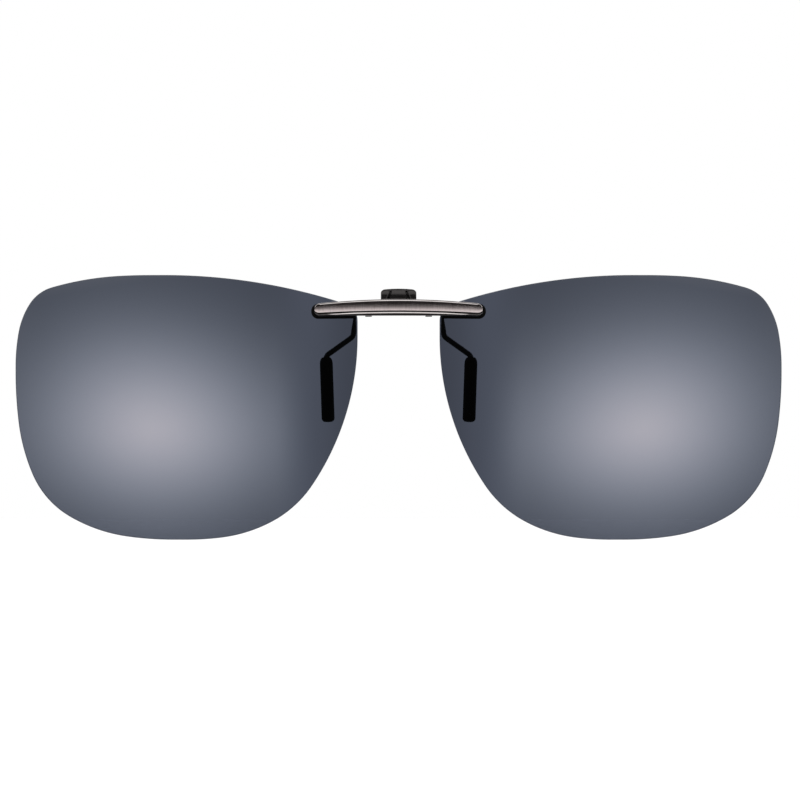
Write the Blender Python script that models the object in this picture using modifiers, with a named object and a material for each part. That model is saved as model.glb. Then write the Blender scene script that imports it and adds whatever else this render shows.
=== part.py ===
"""Rimless clip-on sunglasses with a sprung bridge clip, as separate parts.

Metres, +Z up. The front of the glasses faces -Y and the wearer is at +Y, so
the wearer's left is +X. Z = 0 is the lowest point of the lenses, X = 0 is the
middle of the bridge and Y = 0 is halfway through the depth.
Every dimension below is in millimetres and is scaled by MM where it is used.
"""

import math

import bmesh
import bpy
from mathutils import Matrix, Vector

MM = 0.001
SIDES = ((1, "left"), (-1, "right"))     # sign of x, the wearer's hand

# ---------------------------------------------------------------- dimensions
# depth datum: the flat back of the bridge bar
BAR_BACK_Y = -4.2

# lenses: spherical shells cut to a soft navigator outline
LENS_CENTRE = (37.65, 23.45)     # x, z of the lens's optical centre
LENS_FRONT_R = 132.0             # four dioptre base curve
LENS_THICK = 1.1
LENS_WRAP = math.radians(8.0)    # face-form turn of each lens
LENS_APEX_Y = BAR_BACK_Y + 0.545
LENS_BLANK_R, LENS_RINGS, LENS_STEPS = 39.0, 11, 44
LENS_CUT_Y = (-10.0, 18.0)       # depth of the prism that cuts the blank
LENS_PITCH = 1.7                 # longest step along the outline's arcs
# outline, boxed: four compound corners joined by straight sides. Each corner is a run
# of tangent arcs, given as (radius, heading in degrees where the arc ends)
LENS_NOSE_X, LENS_TEMPLE_X = 7.25, 68.0
LENS_CORNERS = (
    ((104.0, -3), (54.0, -16), (7.0, -58), (14.0, -80), (34.0, -90)),       # brow to temple
    ((74.0, -97), (34.0, -113), (16.0, -150), (28.0, -172), (58.0, -180)),  # temple to foot
    ((50.0, -187), (26.0, -207), (20.0, -236), (47.0, -270)),               # foot to nose
    ((3.2, -342), (104.0, -360)),                                           # nose to brow
)

# bridge bar: a shallow arch that tapers to rounded ends
BAR_TOP_Z, BAR_TOP_R = 42.60, 132.0
BAR_FOOT_Z, BAR_FOOT_R = 39.66, 1200.0
BAR_HALF, BAR_END_R, BAR_DEPTH = 14.88, 1.0, 2.0
BAR_BEVEL = 0.22
CHANNEL_DEEP, CHANNEL_R, CHANNEL_HALF = 0.32, 1.45, 13.7
CHANNEL_RISE = 0.05              # above the middle of the bar's face

# liners in front of and behind each lens, a little larger than the bar
LINER_OUT, LINER_DOWN, LINER_UP = 0.58, 0.46, -0.05
LINER_END_R, LINER_CHAMFER = BAR_END_R + 0.25, 0.4
GASKET_FROM_X, PAD_FROM_X = 7.7, 8.9
GASKET_Y = (BAR_BACK_Y + 0.02, BAR_BACK_Y + 2.0)
PAD_REAR_Y = BAR_BACK_Y + 3.0
PAD_Y = (BAR_BACK_Y + 1.0, PAD_REAR_Y)
SEAT = (12.05, 40.75)            # x, z of the middle of a lens mounting
GASKET_GAP, PAD_GAP = 0.03, 0.12  # from the lens's front and back
TRIM_HALF, TRIM_DEEP = 20.0, 10.0  # block that trims a liner to the lens

# lens screws
SCREW_X = {"inner": 10.6, "outer": 13.5}
SCREW_Z = 40.72
SCREW_R, SCREW_HEAD_R, SCREW_HEAD_H = 0.55, 0.84, 0.62
SCREW_HEAD_CHAMFER = (0.3, 0.22)  # inward, down
SCREW_TIP_CHAMFER = 0.15
SLOT_HALF, SLOT_DEEP, SLOT_REACH = 0.13, 0.25, 1.2
COUNTERBORE_R, COUNTERBORE_DEEP = 0.95, 0.78
LENS_HOLE_R, BAR_HOLE_R, BAR_HOLE_DEEP = 0.66, 0.60, 1.32
THROUGH_Y = (BAR_BACK_Y - 2.0, BAR_BACK_Y + 5.0)
CUT_PAST = 1.0                   # how far a blind hole's cutter stands proud
SCREW_FLOOR_Y = PAD_REAR_Y - COUNTERBORE_DEEP + 0.02
SCREW_TIP_Y = BAR_BACK_Y - BAR_HOLE_DEEP + 0.08

# clip hinge
HINGE_Y, HINGE_Z = BAR_BACK_Y + 1.9, 40.85
PIN_R, PIN_HALF, PIN_HEAD_R, PIN_HEAD_H = 0.48, 6.25, 0.8, 0.30
PIN_HEAD_CHAMFER = (0.2, 0.14)   # inward, along the pin
EAR_IN, EAR_OUT, EAR_R, EAR_HOLE_R = 4.75, 5.90, 1.36, 0.53
EAR_ROOT_Y = BAR_BACK_Y + 0.06
BRACKET_HALF, BRACKET_FOOT_Z, BRACKET_TOP_Z = EAR_OUT - 0.2, 39.98, 42.0
BRACKET_FRONT_Y = BAR_BACK_Y + 0.03
BRACKET_REAR_Y = BRACKET_FRONT_Y + 0.5
KNUCKLE_IN, KNUCKLE_OUT, KNUCKLE_R, KNUCKLE_BORE_R = 3.0, 4.52, 0.95, 0.56
WEB_HALF = 0.55                  # half height of a knuckle's web
BORE_HALF, BORE_SIDES = 8.0, 28  # cutters for the ear and knuckle holes

# torsion spring on the pin
SPRING_R, SPRING_WIRE_R, SPRING_TURNS, SPRING_HALF = 0.95, 0.16, 7.5, 2.5
SPRING_STEPS = 12                # for each turn
SPRING_LEG_Z, SPRING_LEG_GAP = 41.9, SPRING_WIRE_R + 0.03

# clip plate and thumb tab
PLATE_Y, PLATE_THICK = BAR_BACK_Y + 3.15, 0.55
PLATE_REAR_Y = PLATE_Y + PLATE_THICK
PLATE_HALF, PLATE_FOOT_Z, PLATE_TOP_Z = 4.62, 39.97, 42.1
PLATE_FOOT_CHAMFER, PLATE_TOP_CHAMFER = 0.35, 0.3
TAB_HALF, TAB_TOP_Z = 1.9, 44.15
TAB_TOP_CHAMFER, TAB_ROOT_CHAMFER = 0.3, 0.1
WEB_ROOT_Y = PLATE_Y + 0.2

# thumb grip
GRIP_HALF, GRIP_FOOT_Z, GRIP_TOP_Z = 3.15, 42.2, 44.48
GRIP_Y = (BAR_BACK_Y + 2.5, BAR_BACK_Y + 4.4)
GRIP_CROWN, GRIP_CORNER_R, GRIP_BEVEL = 0.20, 0.5, 0.3
GRIP_SHOULDER = GRIP_HALF - 0.15  # half width below the top corners
GRIP_FLARE_H = 0.9               # height at which the full width is reached
POCKET_GAP, POCKET_FOOT_Z = 0.03, 41.0
GROOVE_X, GROOVE_Z, GROOVE_LEAN = 1.5, 43.1, math.radians(9.0)
GROOVE_LOW, GROOVE_HIGH = (-0.13, -0.2, -1.6), (0.13, 0.2, 1.0)

# clip wires and their sleeves
WIRE_R = 0.46
WIRE_Y = PLATE_REAR_Y + WIRE_R + 0.02
WIRE_Z = 40.42
WIRE_PATH = (                    # x, y, z, bend radius
    (2.6, WIRE_Y, WIRE_Z, 0.0),
    (7.70, WIRE_Y, WIRE_Z, 0.8),
    (8.02, BAR_BACK_Y + 6.1, 36.03, 1.1),
    (12.86, BAR_BACK_Y + 5.1, 32.57, 1.1),
    (12.50, BAR_BACK_Y + 3.75, 21.8, 0.0),
)
SLEEVE_R, SLEEVE_LONG, SLEEVE_BORE_R = 1.15, 11.5, 0.51
SLEEVE_TOP_Z = 32.3
SLEEVE_BORE_GAP = 0.05           # past the wire's tip
SLEEVE_SHOULDER = (0.5, 0.9)     # radial and axial size of the rounding at its top
SLEEVE_TIP_R = 0.7               # rounding at its foot


# ------------------------------------------------------- scene and materials
for old in list(bpy.data.objects):
    bpy.data.objects.remove(old, do_unlink=True)


def collection(name):
    made = bpy.data.collections.new(name)
    bpy.context.scene.collection.children.link(made)
    return made


def material(name, colour, roughness, metallic=0.0, alpha=1.0):
    made = bpy.data.materials.new(name)
    made.use_nodes = True
    shader = made.node_tree.nodes["Principled BSDF"]
    shader.inputs["Base Color"].default_value = (*colour, 1.0)
    shader.inputs["Roughness"].default_value = roughness
    shader.inputs["Metallic"].default_value = metallic
    shader.inputs["Alpha"].default_value = alpha
    made.diffuse_color = (*colour, alpha)
    return made


CLIP_ON = collection("clip_on_sunglasses")
CUTTERS = collection("cutters")
CUTTERS.hide_render = True

TINTED = material("tinted_lens", colour=(0.055, 0.06, 0.08), roughness=0.06, alpha=0.85)
GUNMETAL = material("gunmetal", colour=(0.36, 0.33, 0.33), roughness=0.32, metallic=1.0)
BLACK_METAL = material(
    "black_metal", colour=(0.025, 0.025, 0.028), roughness=0.35, metallic=1.0
)
STEEL = material("steel", colour=(0.55, 0.55, 0.56), roughness=0.28, metallic=1.0)
SPRING_STEEL = material(
    "spring_steel", colour=(0.42, 0.42, 0.44), roughness=0.3, metallic=1.0
)
BLACK_RUBBER = material("black_rubber", colour=(0.012, 0.012, 0.013), roughness=0.75)
BLACK_NYLON = material("black_nylon", colour=(0.02, 0.02, 0.022), roughness=0.5)
GRIP_PLASTIC = material("grip_plastic", colour=(0.045, 0.043, 0.042), roughness=0.55)


# ------------------------------------------------------------ object helpers
def add(name, data, where, finish=None):
    obj = bpy.data.objects.new(name, data)
    where.objects.link(obj)
    obj.hide_render = where == CUTTERS
    if finish:
        data.materials.append(finish)
    return obj


def boolean(obj, other, operation="DIFFERENCE"):
    made = obj.modifiers.new(operation.lower(), "BOOLEAN")
    made.operation = operation
    made.solver = "EXACT"
    made.object = other


def bevel(obj, width, segments):
    made = obj.modifiers.new("bevel", "BEVEL")
    made.width = width * MM
    made.segments = segments
    made.limit_method = "ANGLE"
    made.angle_limit = math.radians(35.0)


def applied(obj):
    """The same object with its modifiers, or its curve, turned into a welded mesh."""
    bpy.context.view_layer.update()
    graph = bpy.context.evaluated_depsgraph_get()
    mesh = bpy.data.meshes.new_from_object(obj.evaluated_get(graph))
    work = bmesh.new()
    work.from_mesh(mesh)
    bmesh.ops.remove_doubles(work, verts=work.verts, dist=1e-6)
    bmesh.ops.recalc_face_normals(work, faces=work.faces)
    work.to_mesh(mesh)
    work.free()
    name, where, placed = obj.name, obj.users_collection[0], obj.matrix_world.copy()
    finish = obj.data.materials[0] if obj.data.materials else None
    bpy.data.objects.remove(obj, do_unlink=True)
    mesh.name = name
    mesh.materials.clear()
    fresh = add(name, mesh, where, finish)
    fresh.matrix_world = placed
    return fresh


def smooth(obj, degrees=35.0):
    obj.data.shade_smooth()
    obj.data.set_sharp_from_angle(angle=math.radians(degrees))
    return obj


def hang(obj, parent):
    """Parents an object to an empty without moving it, and puts its origin there."""
    shift = parent.matrix_world.inverted() @ obj.matrix_world
    obj.data.transform(shift)
    obj.matrix_world = Matrix.Identity(4)
    obj.parent = parent


# ------------------------------------------------------------- shape helpers
def mesh_from(name, work):
    bmesh.ops.recalc_face_normals(work, faces=work.faces)
    mesh = bpy.data.meshes.new(name)
    work.to_mesh(mesh)
    work.free()
    return mesh


def box(name, low, high, where=CUTTERS, finish=None):
    """A box between two corners, in millimetres."""
    work = bmesh.new()
    bmesh.ops.create_cube(work, size=1.0)
    low, high = Vector(low), Vector(high)
    bmesh.ops.scale(work, vec=(high - low) * MM, verts=work.verts)
    bmesh.ops.translate(work, vec=(low + high) / 2 * MM, verts=work.verts)
    return add(name, mesh_from(name, work), where, finish)


def rod_cutter(name, radius, start, end, sides=24):
    """A cylinder between two points, in millimetres."""
    start, end = Vector(start), Vector(end)
    run = end - start
    work = bmesh.new()
    bmesh.ops.create_cone(
        work, cap_ends=True, segments=sides, radius1=radius * MM,
        radius2=radius * MM, depth=run.length * MM,
    )
    turn = run.to_track_quat("Z", "Y").to_matrix().to_4x4()
    bmesh.ops.transform(
        work, matrix=Matrix.Translation((start + end) / 2 * MM) @ turn, verts=work.verts
    )
    return add(name, mesh_from(name, work), CUTTERS)


def turned(name, profile, steps, finish):
    """A profile of (radius, height) in millimetres, turned about local Z."""
    mesh = bpy.data.meshes.new(name)
    points = [(radius * MM, 0.0, z * MM) for radius, z in profile]
    mesh.from_pydata(points, [(i, i + 1) for i in range(len(points) - 1)], [])
    obj = add(name, mesh, CLIP_ON, finish)
    screw = obj.modifiers.new("turn", "SCREW")
    screw.axis = "Z"
    screw.steps = screw.render_steps = steps
    screw.use_merge_vertices = True
    screw.merge_threshold = 1e-6
    screw.use_smooth_shade = True
    return obj


def poly_curve(name, points, dimensions, cyclic):
    """A curve of straight runs through points in millimetres."""
    curve = bpy.data.curves.new(name, "CURVE")
    curve.dimensions = dimensions
    spline = curve.splines.new("POLY")
    spline.points.add(len(points) - 1)
    for point, place in zip(spline.points, points):
        point.co = (*(Vector(place) * MM), 1.0)
    spline.use_cyclic_u = cyclic
    return curve


def flat(name, outline, start, end, turn, along, where, finish):
    """A flat outline made solid between two places on the axis square to it."""
    points = [(across, up, 0.0) for across, up in outline]
    curve = poly_curve(name, points, "2D", cyclic=True)
    curve.fill_mode = "BOTH"
    curve.extrude = abs(end - start) / 2 * MM
    obj = add(name, curve, where, finish)
    obj.rotation_euler = turn
    obj.location = Vector(along) * (start + end) / 2 * MM
    obj = applied(obj)
    obj.data.transform(obj.matrix_world)
    obj.matrix_world = Matrix.Identity(4)
    return obj


def slab(name, outline, y_span, where, finish=None):
    """A flat outline of (x, z) points, made solid between two depths."""
    turn = (math.radians(90.0), 0.0, 0.0)
    return flat(name, outline, *y_span, turn, (0.0, 1.0, 0.0), where, finish)


def cheek(name, outline, x_from, x_to):
    """A flat outline of (y, z) points, made solid between two x: an ear or a knuckle."""
    turn = (math.radians(90.0), 0.0, math.radians(90.0))
    return flat(name, outline, x_from, x_to, turn, (1.0, 0.0, 0.0), CUTTERS, None)


def wire(name, points, radius, where, finish=None, resolution=2):
    """A round wire through points in millimetres, with flat ends."""
    curve = poly_curve(name, points, "3D", cyclic=False)
    curve.bevel_depth = radius * MM
    curve.bevel_resolution = resolution
    curve.use_fill_caps = True
    return applied(add(name, curve, where, finish))


def round_corners(path, steps=4):
    """Points along a path whose inner corners are rounded to their radii."""
    points = [Vector(path[0][:3])]
    for before, corner, after in zip(path, path[1:], path[2:]):
        here, radius = Vector(corner[:3]), corner[3]
        back = (Vector(before[:3]) - here).normalized()
        onward = (Vector(after[:3]) - here).normalized()
        half = back.angle(onward) / 2
        reach = radius / math.tan(half)
        centre = here + (back + onward).normalized() * radius / math.sin(half)
        first, last = here + back * reach - centre, here + onward * reach - centre
        sweep = first.angle(last)
        for i in range(steps + 1):
            share = i / steps
            points.append(
                centre
                + (first * math.sin((1 - share) * sweep) + last * math.sin(share * sweep))
                / math.sin(sweep)
            )
    points.append(Vector(path[-1][:3]))
    return points


def mirrored(half):
    """The +X half of an outline, followed by its mirror image."""
    return half + [(-x, z) for x, z in reversed(half)]


def quarter(centre_x, centre_z, radius, start, steps):
    """A quarter circle, clockwise from a start in degrees."""
    points = []
    for i in range(steps + 1):
        turn = math.radians(start - 90.0 * i / steps)
        points.append((centre_x + radius * math.cos(turn), centre_z + radius * math.sin(turn)))
    return points


# ---------------------------------------------------------------- bridge bar
def bar_top(x):
    return BAR_TOP_Z - x * x / (2 * BAR_TOP_R)


def bar_foot(x):
    return BAR_FOOT_Z - x * x / (2 * BAR_FOOT_R)


def rounded_end(centre_x, top, foot, radius):
    """The end of a bar at +X, from its top edge round to its foot."""
    return (
        quarter(centre_x, top - radius, radius, 90.0, 6)
        + quarter(centre_x, foot + radius, radius, 0.0, 6)
    )


def bar_outline():
    reach = BAR_HALF - BAR_END_R
    across = [reach * (i / 12.0) for i in range(-11, 12)]
    right = rounded_end(reach, bar_top(reach), bar_foot(reach), BAR_END_R)
    top = [(x, bar_top(x)) for x in across]
    foot = [(x, bar_foot(x)) for x in reversed(across)]
    return top + right + foot + [(-x, z) for x, z in reversed(right)]


def drill(obj, side, radius, y_span):
    """Cuts the two lens screw holes of one side."""
    y_from, y_to = y_span
    for place, x in SCREW_X.items():
        start, end = (side * x, y_from, SCREW_Z), (side * x, y_to, SCREW_Z)
        boolean(obj, rod_cutter(f"{place}_hole", radius, start, end))


def build_bar():
    """Arched slab: softened edges, a channel along its front, blind holes in its back."""
    bar = slab(
        "bridge_bar", bar_outline(), (BAR_BACK_Y - BAR_DEPTH, BAR_BACK_Y), CLIP_ON, GUNMETAL
    )
    bevel(bar, BAR_BEVEL, segments=2)
    channel_y = BAR_BACK_Y - BAR_DEPTH - CHANNEL_R + CHANNEL_DEEP
    channel_mid = [
        (x, channel_y, (bar_top(x) + bar_foot(x)) / 2 + CHANNEL_RISE)
        for x in (CHANNEL_HALF * i / 10.0 for i in range(-10, 11))
    ]
    boolean(bar, wire("channel", channel_mid, CHANNEL_R, CUTTERS, resolution=4))
    for side, _ in SIDES:
        drill(bar, side, BAR_HOLE_R, (BAR_BACK_Y - BAR_HOLE_DEEP, BAR_BACK_Y + CUT_PAST))
    smooth(applied(bar))


# -------------------------------------------------------------------- lenses
def lens_matrix(side):
    """Local Z is the optical axis, pointing out of the lens's front."""
    apex = Vector((side * LENS_CENTRE[0], LENS_APEX_Y, LENS_CENTRE[1])) * MM
    facing = Vector((side * math.sin(LENS_WRAP), -math.cos(LENS_WRAP), 0.0))
    return Matrix.Translation(apex) @ facing.to_track_quat("Z", "Y").to_matrix().to_4x4()


def lens_profile():
    reach = [LENS_BLANK_R * i / LENS_RINGS for i in range(LENS_RINGS + 1)]
    inner = LENS_FRONT_R - LENS_THICK
    front = [(out, math.sqrt(LENS_FRONT_R**2 - out * out) - LENS_FRONT_R) for out in reach]
    back = [(out, math.sqrt(inner**2 - out * out) - LENS_FRONT_R) for out in reversed(reach)]
    return front + back


def corner_arcs(start, heading, arcs):
    """Points along a run of tangent arcs that turns clockwise."""
    points = []
    x, z = start
    for radius, end in arcs:
        turn = math.radians(heading - end)
        steps = max(2, math.ceil(radius * turn / LENS_PITCH))
        chord = 2 * radius * math.sin(turn / steps / 2)
        for i in range(steps):
            way = math.radians(heading) - turn * (i + 0.5) / steps
            x, z = x + chord * math.cos(way), z + chord * math.sin(way)
            points.append((x, z))
        heading = end
    return points


def lens_outline():
    """Lens outline in its box: straight sides take up what the corners leave.

    Its x is from the bridge's middle and its z is from the optical centre.
    """
    half = LENS_CENTRE[1]
    ends = [
        corner_arcs((0.0, 0.0), -90 * i, arcs)[-1] for i, arcs in enumerate(LENS_CORNERS)
    ]
    starts = (
        (LENS_TEMPLE_X - ends[0][0], half),
        (LENS_TEMPLE_X, -half - ends[1][1]),
        (LENS_NOSE_X - ends[2][0], -half),
        (LENS_NOSE_X, half - ends[3][1]),
    )
    points = []
    for i, (start, arcs) in enumerate(zip(starts, LENS_CORNERS)):
        points += [start] + corner_arcs(start, -90 * i, arcs)
    return points


def build_lens(side, hand):
    """Turned blank, cut to its outline and drilled."""
    lens = turned(f"{hand}_lens", lens_profile(), LENS_STEPS, TINTED)
    lens.matrix_world = lens_matrix(side)
    outline = [(side * x, z + LENS_CENTRE[1]) for x, z in lens_outline()]
    boolean(lens, slab("lens_outline", outline, LENS_CUT_Y, CUTTERS), "INTERSECT")
    drill(lens, side, LENS_HOLE_R, THROUGH_Y)
    smooth(applied(lens), 30.0)


# -------------------------------------------------------------------- liners
def liner_outline(from_x, side):
    """The bar's outline let out at its foot and its far end."""
    reach = BAR_HALF + LINER_OUT - LINER_END_R
    first = from_x + LINER_CHAMFER
    across = [first + (reach - first) * i / 6.0 for i in range(6)]
    top = [(x, bar_top(x) + LINER_UP) for x in across]
    foot = [(x, bar_foot(x) - LINER_DOWN) for x in reversed(across)]
    far = rounded_end(
        reach, bar_top(reach) + LINER_UP, bar_foot(reach) - LINER_DOWN, LINER_END_R
    )
    near = [
        (from_x, bar_foot(from_x) - LINER_DOWN + LINER_CHAMFER),
        (from_x, bar_top(from_x) + LINER_UP - LINER_CHAMFER),
    ]
    return [(side * x, z) for x, z in top + far + foot + near]


def seat_on_lens(side):
    """The seat's place on the lens's front surface, and the outward normal there."""
    x, z = SEAT
    sphere_x = LENS_CENTRE[0] - LENS_FRONT_R * math.sin(LENS_WRAP)
    sphere_y = LENS_APEX_Y + LENS_FRONT_R * math.cos(LENS_WRAP)
    from_x, from_z = x - sphere_x, z - LENS_CENTRE[1]
    from_y = -math.sqrt(LENS_FRONT_R**2 - from_x * from_x - from_z * from_z)
    normal = Vector((side * from_x, from_y, from_z)) / LENS_FRONT_R
    return Vector((side * x, sphere_y + from_y, z)), normal


def trim_to_lens(liner, side, offset, low, high):
    """Cuts a liner away between low and high, along the lens's normal from an offset."""
    seat, normal = seat_on_lens(side)
    block = box("trim", (-TRIM_HALF, -TRIM_HALF, low), (TRIM_HALF, TRIM_HALF, high))
    lean = normal.to_track_quat("Z", "Y").to_matrix().to_4x4()
    block.matrix_world = Matrix.Translation((seat + normal * offset) * MM) @ lean
    boolean(liner, block)


def build_gasket(side, hand):
    """Fills the wedge between the bar's flat back and the lens's front."""
    outline = liner_outline(GASKET_FROM_X, side)
    gasket = slab(f"{hand}_gasket", outline, GASKET_Y, CLIP_ON, BLACK_RUBBER)
    trim_to_lens(gasket, side, offset=GASKET_GAP, low=-TRIM_DEEP, high=0.0)
    drill(gasket, side, LENS_HOLE_R, THROUGH_Y)
    smooth(applied(gasket))


def build_rear_pad(side, hand):
    """The clip's fixed jaw, with a flat rear face and sunk screw heads."""
    outline = liner_outline(PAD_FROM_X, side)
    pad = slab(f"{hand}_rear_pad", outline, PAD_Y, CLIP_ON, BLACK_NYLON)
    trim_to_lens(pad, side, offset=-(LENS_THICK + PAD_GAP), low=0.0, high=TRIM_DEEP)
    drill(pad, side, LENS_HOLE_R, THROUGH_Y)
    drill(pad, side, COUNTERBORE_R, (PAD_REAR_Y - COUNTERBORE_DEEP, PAD_REAR_Y + CUT_PAST))
    smooth(applied(pad))


# --------------------------------------------------------------- lens screws
def build_lens_screw(name, x):
    """Low round head with a slot, plain shank into the bar; local Z points back."""
    long = SCREW_FLOOR_Y - SCREW_TIP_Y
    inward, down = SCREW_HEAD_CHAMFER
    profile = (
        (0.0, SCREW_HEAD_H),
        (SCREW_HEAD_R - inward, SCREW_HEAD_H),
        (SCREW_HEAD_R, SCREW_HEAD_H - down),
        (SCREW_HEAD_R, 0.0),
        (SCREW_R, 0.0),
        (SCREW_R, SCREW_TIP_CHAMFER - long),
        (SCREW_R - SCREW_TIP_CHAMFER, -long),
        (0.0, -long),
    )
    screw = turned(name, profile, 20, STEEL)
    screw.location = Vector((x, SCREW_FLOOR_Y, SCREW_Z)) * MM
    screw.rotation_euler = (math.radians(-90.0), 0.0, 0.0)
    head_y = SCREW_FLOOR_Y + SCREW_HEAD_H
    slot = box(
        "slot",
        (x - SLOT_REACH, head_y - SLOT_DEEP, SCREW_Z - SLOT_HALF),
        (x + SLOT_REACH, head_y + 0.5, SCREW_Z + SLOT_HALF),
    )
    boolean(screw, slot)
    smooth(applied(screw))


# --------------------------------------------------------------------- hinge
def build_hinge_axis():
    """The empty that everything on the moving side of the clip hangs from."""
    axis = add("clip_hinge_axis", None, CLIP_ON)
    axis.location = (0.0, HINGE_Y * MM, HINGE_Z * MM)
    bpy.context.view_layer.update()
    return axis


def around_hinge(radius, start, sweep, steps):
    """(y, z) points on an arc about the hinge axis."""
    turns = [start + sweep * i / steps for i in range(steps + 1)]
    return [
        (HINGE_Y + radius * math.cos(turn), HINGE_Z + radius * math.sin(turn))
        for turn in turns
    ]


def ear_outline():
    """Rounded to the rear about the hinge axis, with its root at the bracket."""
    half = EAR_R - 0.001             # just short of the full radius
    turn = math.asin(half / EAR_R)
    arc = around_hinge(EAR_R, -turn, 2 * turn, 14)
    return [(EAR_ROOT_Y, HINGE_Z - half)] + arc + [(EAR_ROOT_Y, HINGE_Z + half)]


def knuckle_outline():
    """A circle on the hinge axis, webbed towards +Y."""
    turn = math.asin(WEB_HALF / KNUCKLE_R)
    arc = around_hinge(KNUCKLE_R, turn, 2 * math.pi - 2 * turn, 28)
    return arc + [(WEB_ROOT_Y, HINGE_Z - WEB_HALF), (WEB_ROOT_Y, HINGE_Z + WEB_HALF)]


def add_cheeks(obj, outline, inner, outer, bore_radius):
    """Joins a cheek on each side, then bores both along the hinge axis."""
    for side, hand in SIDES:
        boolean(obj, cheek(f"{hand}_cheek", outline, side * inner, side * outer), "UNION")
    start, end = (-BORE_HALF, HINGE_Y, HINGE_Z), (BORE_HALF, HINGE_Y, HINGE_Z)
    boolean(obj, rod_cutter("bore", bore_radius, start, end, BORE_SIDES))


def build_bracket():
    """A plate on the bar's back with two ears that carry the pin."""
    bracket = box(
        "hinge_bracket",
        (-BRACKET_HALF, BRACKET_FRONT_Y, BRACKET_FOOT_Z),
        (BRACKET_HALF, BRACKET_REAR_Y, BRACKET_TOP_Z),
        CLIP_ON, BLACK_METAL,
    )
    add_cheeks(bracket, ear_outline(), EAR_IN, EAR_OUT, EAR_HOLE_R)
    smooth(applied(bracket))


def build_pin():
    """Straight, with a low riveted head at each end."""
    inward, along = PIN_HEAD_CHAMFER
    head = [
        (0.0, PIN_HALF),
        (PIN_HEAD_R - inward, PIN_HALF),
        (PIN_HEAD_R, PIN_HALF - along),
        (PIN_HEAD_R, PIN_HALF - PIN_HEAD_H),
        (PIN_R, PIN_HALF - PIN_HEAD_H),
    ]
    profile = head + [(radius, -z) for radius, z in reversed(head)]
    pin = turned("hinge_pin", profile, 24, STEEL)
    pin.location = (0.0, HINGE_Y * MM, HINGE_Z * MM)
    pin.rotation_euler = (0.0, math.radians(90.0), 0.0)
    smooth(applied(pin))


def build_spring():
    """Torsion spring: both legs stand up, one on the bracket and one on the plate."""
    count = round(SPRING_TURNS * SPRING_STEPS)
    arc = around_hinge(SPRING_R, math.pi, 2 * math.pi * SPRING_TURNS, count)
    coil = [
        (-SPRING_HALF + 2 * SPRING_HALF * i / count, y, z) for i, (y, z) in enumerate(arc)
    ]
    fixed = (-SPRING_HALF, BRACKET_REAR_Y + SPRING_LEG_GAP, SPRING_LEG_Z)
    moving = (SPRING_HALF, PLATE_Y - SPRING_LEG_GAP, SPRING_LEG_Z)
    points = [fixed] + coil + [moving]
    spring = wire("clip_spring", points, SPRING_WIRE_R, CLIP_ON, SPRING_STEEL, resolution=1)
    smooth(spring, 50.0)


# ------------------------------------------------------- clip plate and grip
def build_plate():
    """Stamped plate with its tab, webbed to two knuckles on the pin."""
    outline = mirrored([
        (TAB_HALF - TAB_TOP_CHAMFER, TAB_TOP_Z),
        (TAB_HALF, TAB_TOP_Z - TAB_TOP_CHAMFER),
        (TAB_HALF, PLATE_TOP_Z + TAB_ROOT_CHAMFER),
        (TAB_HALF + TAB_ROOT_CHAMFER, PLATE_TOP_Z),
        (PLATE_HALF - PLATE_TOP_CHAMFER, PLATE_TOP_Z),
        (PLATE_HALF, PLATE_TOP_Z - PLATE_TOP_CHAMFER),
        (PLATE_HALF, PLATE_FOOT_Z + PLATE_FOOT_CHAMFER),
        (PLATE_HALF - PLATE_FOOT_CHAMFER, PLATE_FOOT_Z),
    ])
    plate = slab("clip_plate", outline, (PLATE_Y, PLATE_REAR_Y), CLIP_ON, BLACK_METAL)
    add_cheeks(plate, knuckle_outline(), KNUCKLE_IN, KNUCKLE_OUT, KNUCKLE_BORE_R)
    return smooth(applied(plate))


def grip_outline():
    reach = GRIP_SHOULDER - GRIP_CORNER_R
    across = [reach * (i / 6.0) for i in range(-6, 7)]
    top = [(x, GRIP_TOP_Z - GRIP_CROWN * (x / GRIP_SHOULDER) ** 2) for x in across]
    corner_z = GRIP_TOP_Z - GRIP_CROWN - GRIP_CORNER_R
    corner = quarter(reach, corner_z, GRIP_CORNER_R, 90.0, 4)[1:]
    flare = [(GRIP_HALF, GRIP_FOOT_Z + GRIP_FLARE_H), (GRIP_HALF, GRIP_FOOT_Z)]
    return top + mirrored(corner + flare)


def build_grip():
    """A moulded cap over the tab, crowned, with two grooves in its front face."""
    grip = slab("thumb_grip", grip_outline(), GRIP_Y, CLIP_ON, GRIP_PLASTIC)
    bevel(grip, GRIP_BEVEL, segments=3)
    pocket_half = TAB_HALF + POCKET_GAP
    pocket = box(
        "tab_pocket",
        (-pocket_half, PLATE_Y - POCKET_GAP, POCKET_FOOT_Z),
        (pocket_half, PLATE_REAR_Y + POCKET_GAP, TAB_TOP_Z + POCKET_GAP),
    )
    boolean(grip, pocket)
    for side, hand in SIDES:
        groove = box(f"{hand}_groove", GROOVE_LOW, GROOVE_HIGH)
        place = Vector((side * GROOVE_X, GRIP_Y[0], GROOVE_Z)) * MM
        lean = Matrix.Rotation(-side * GROOVE_LEAN, 4, "Y")
        groove.matrix_world = Matrix.Translation(place) @ lean
        boolean(grip, groove)
    return smooth(applied(grip))


# -------------------------------------------------------- wires and sleeves
def wire_path(side):
    return [(side * x, y, z, radius) for x, y, z, radius in WIRE_PATH]


def build_clip_wire(side, hand):
    """Runs along the plate's back, then bends down behind the lens."""
    points = round_corners(wire_path(side))
    return smooth(wire(f"{hand}_clip_wire", points, WIRE_R, CLIP_ON, BLACK_METAL), 50.0)


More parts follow.
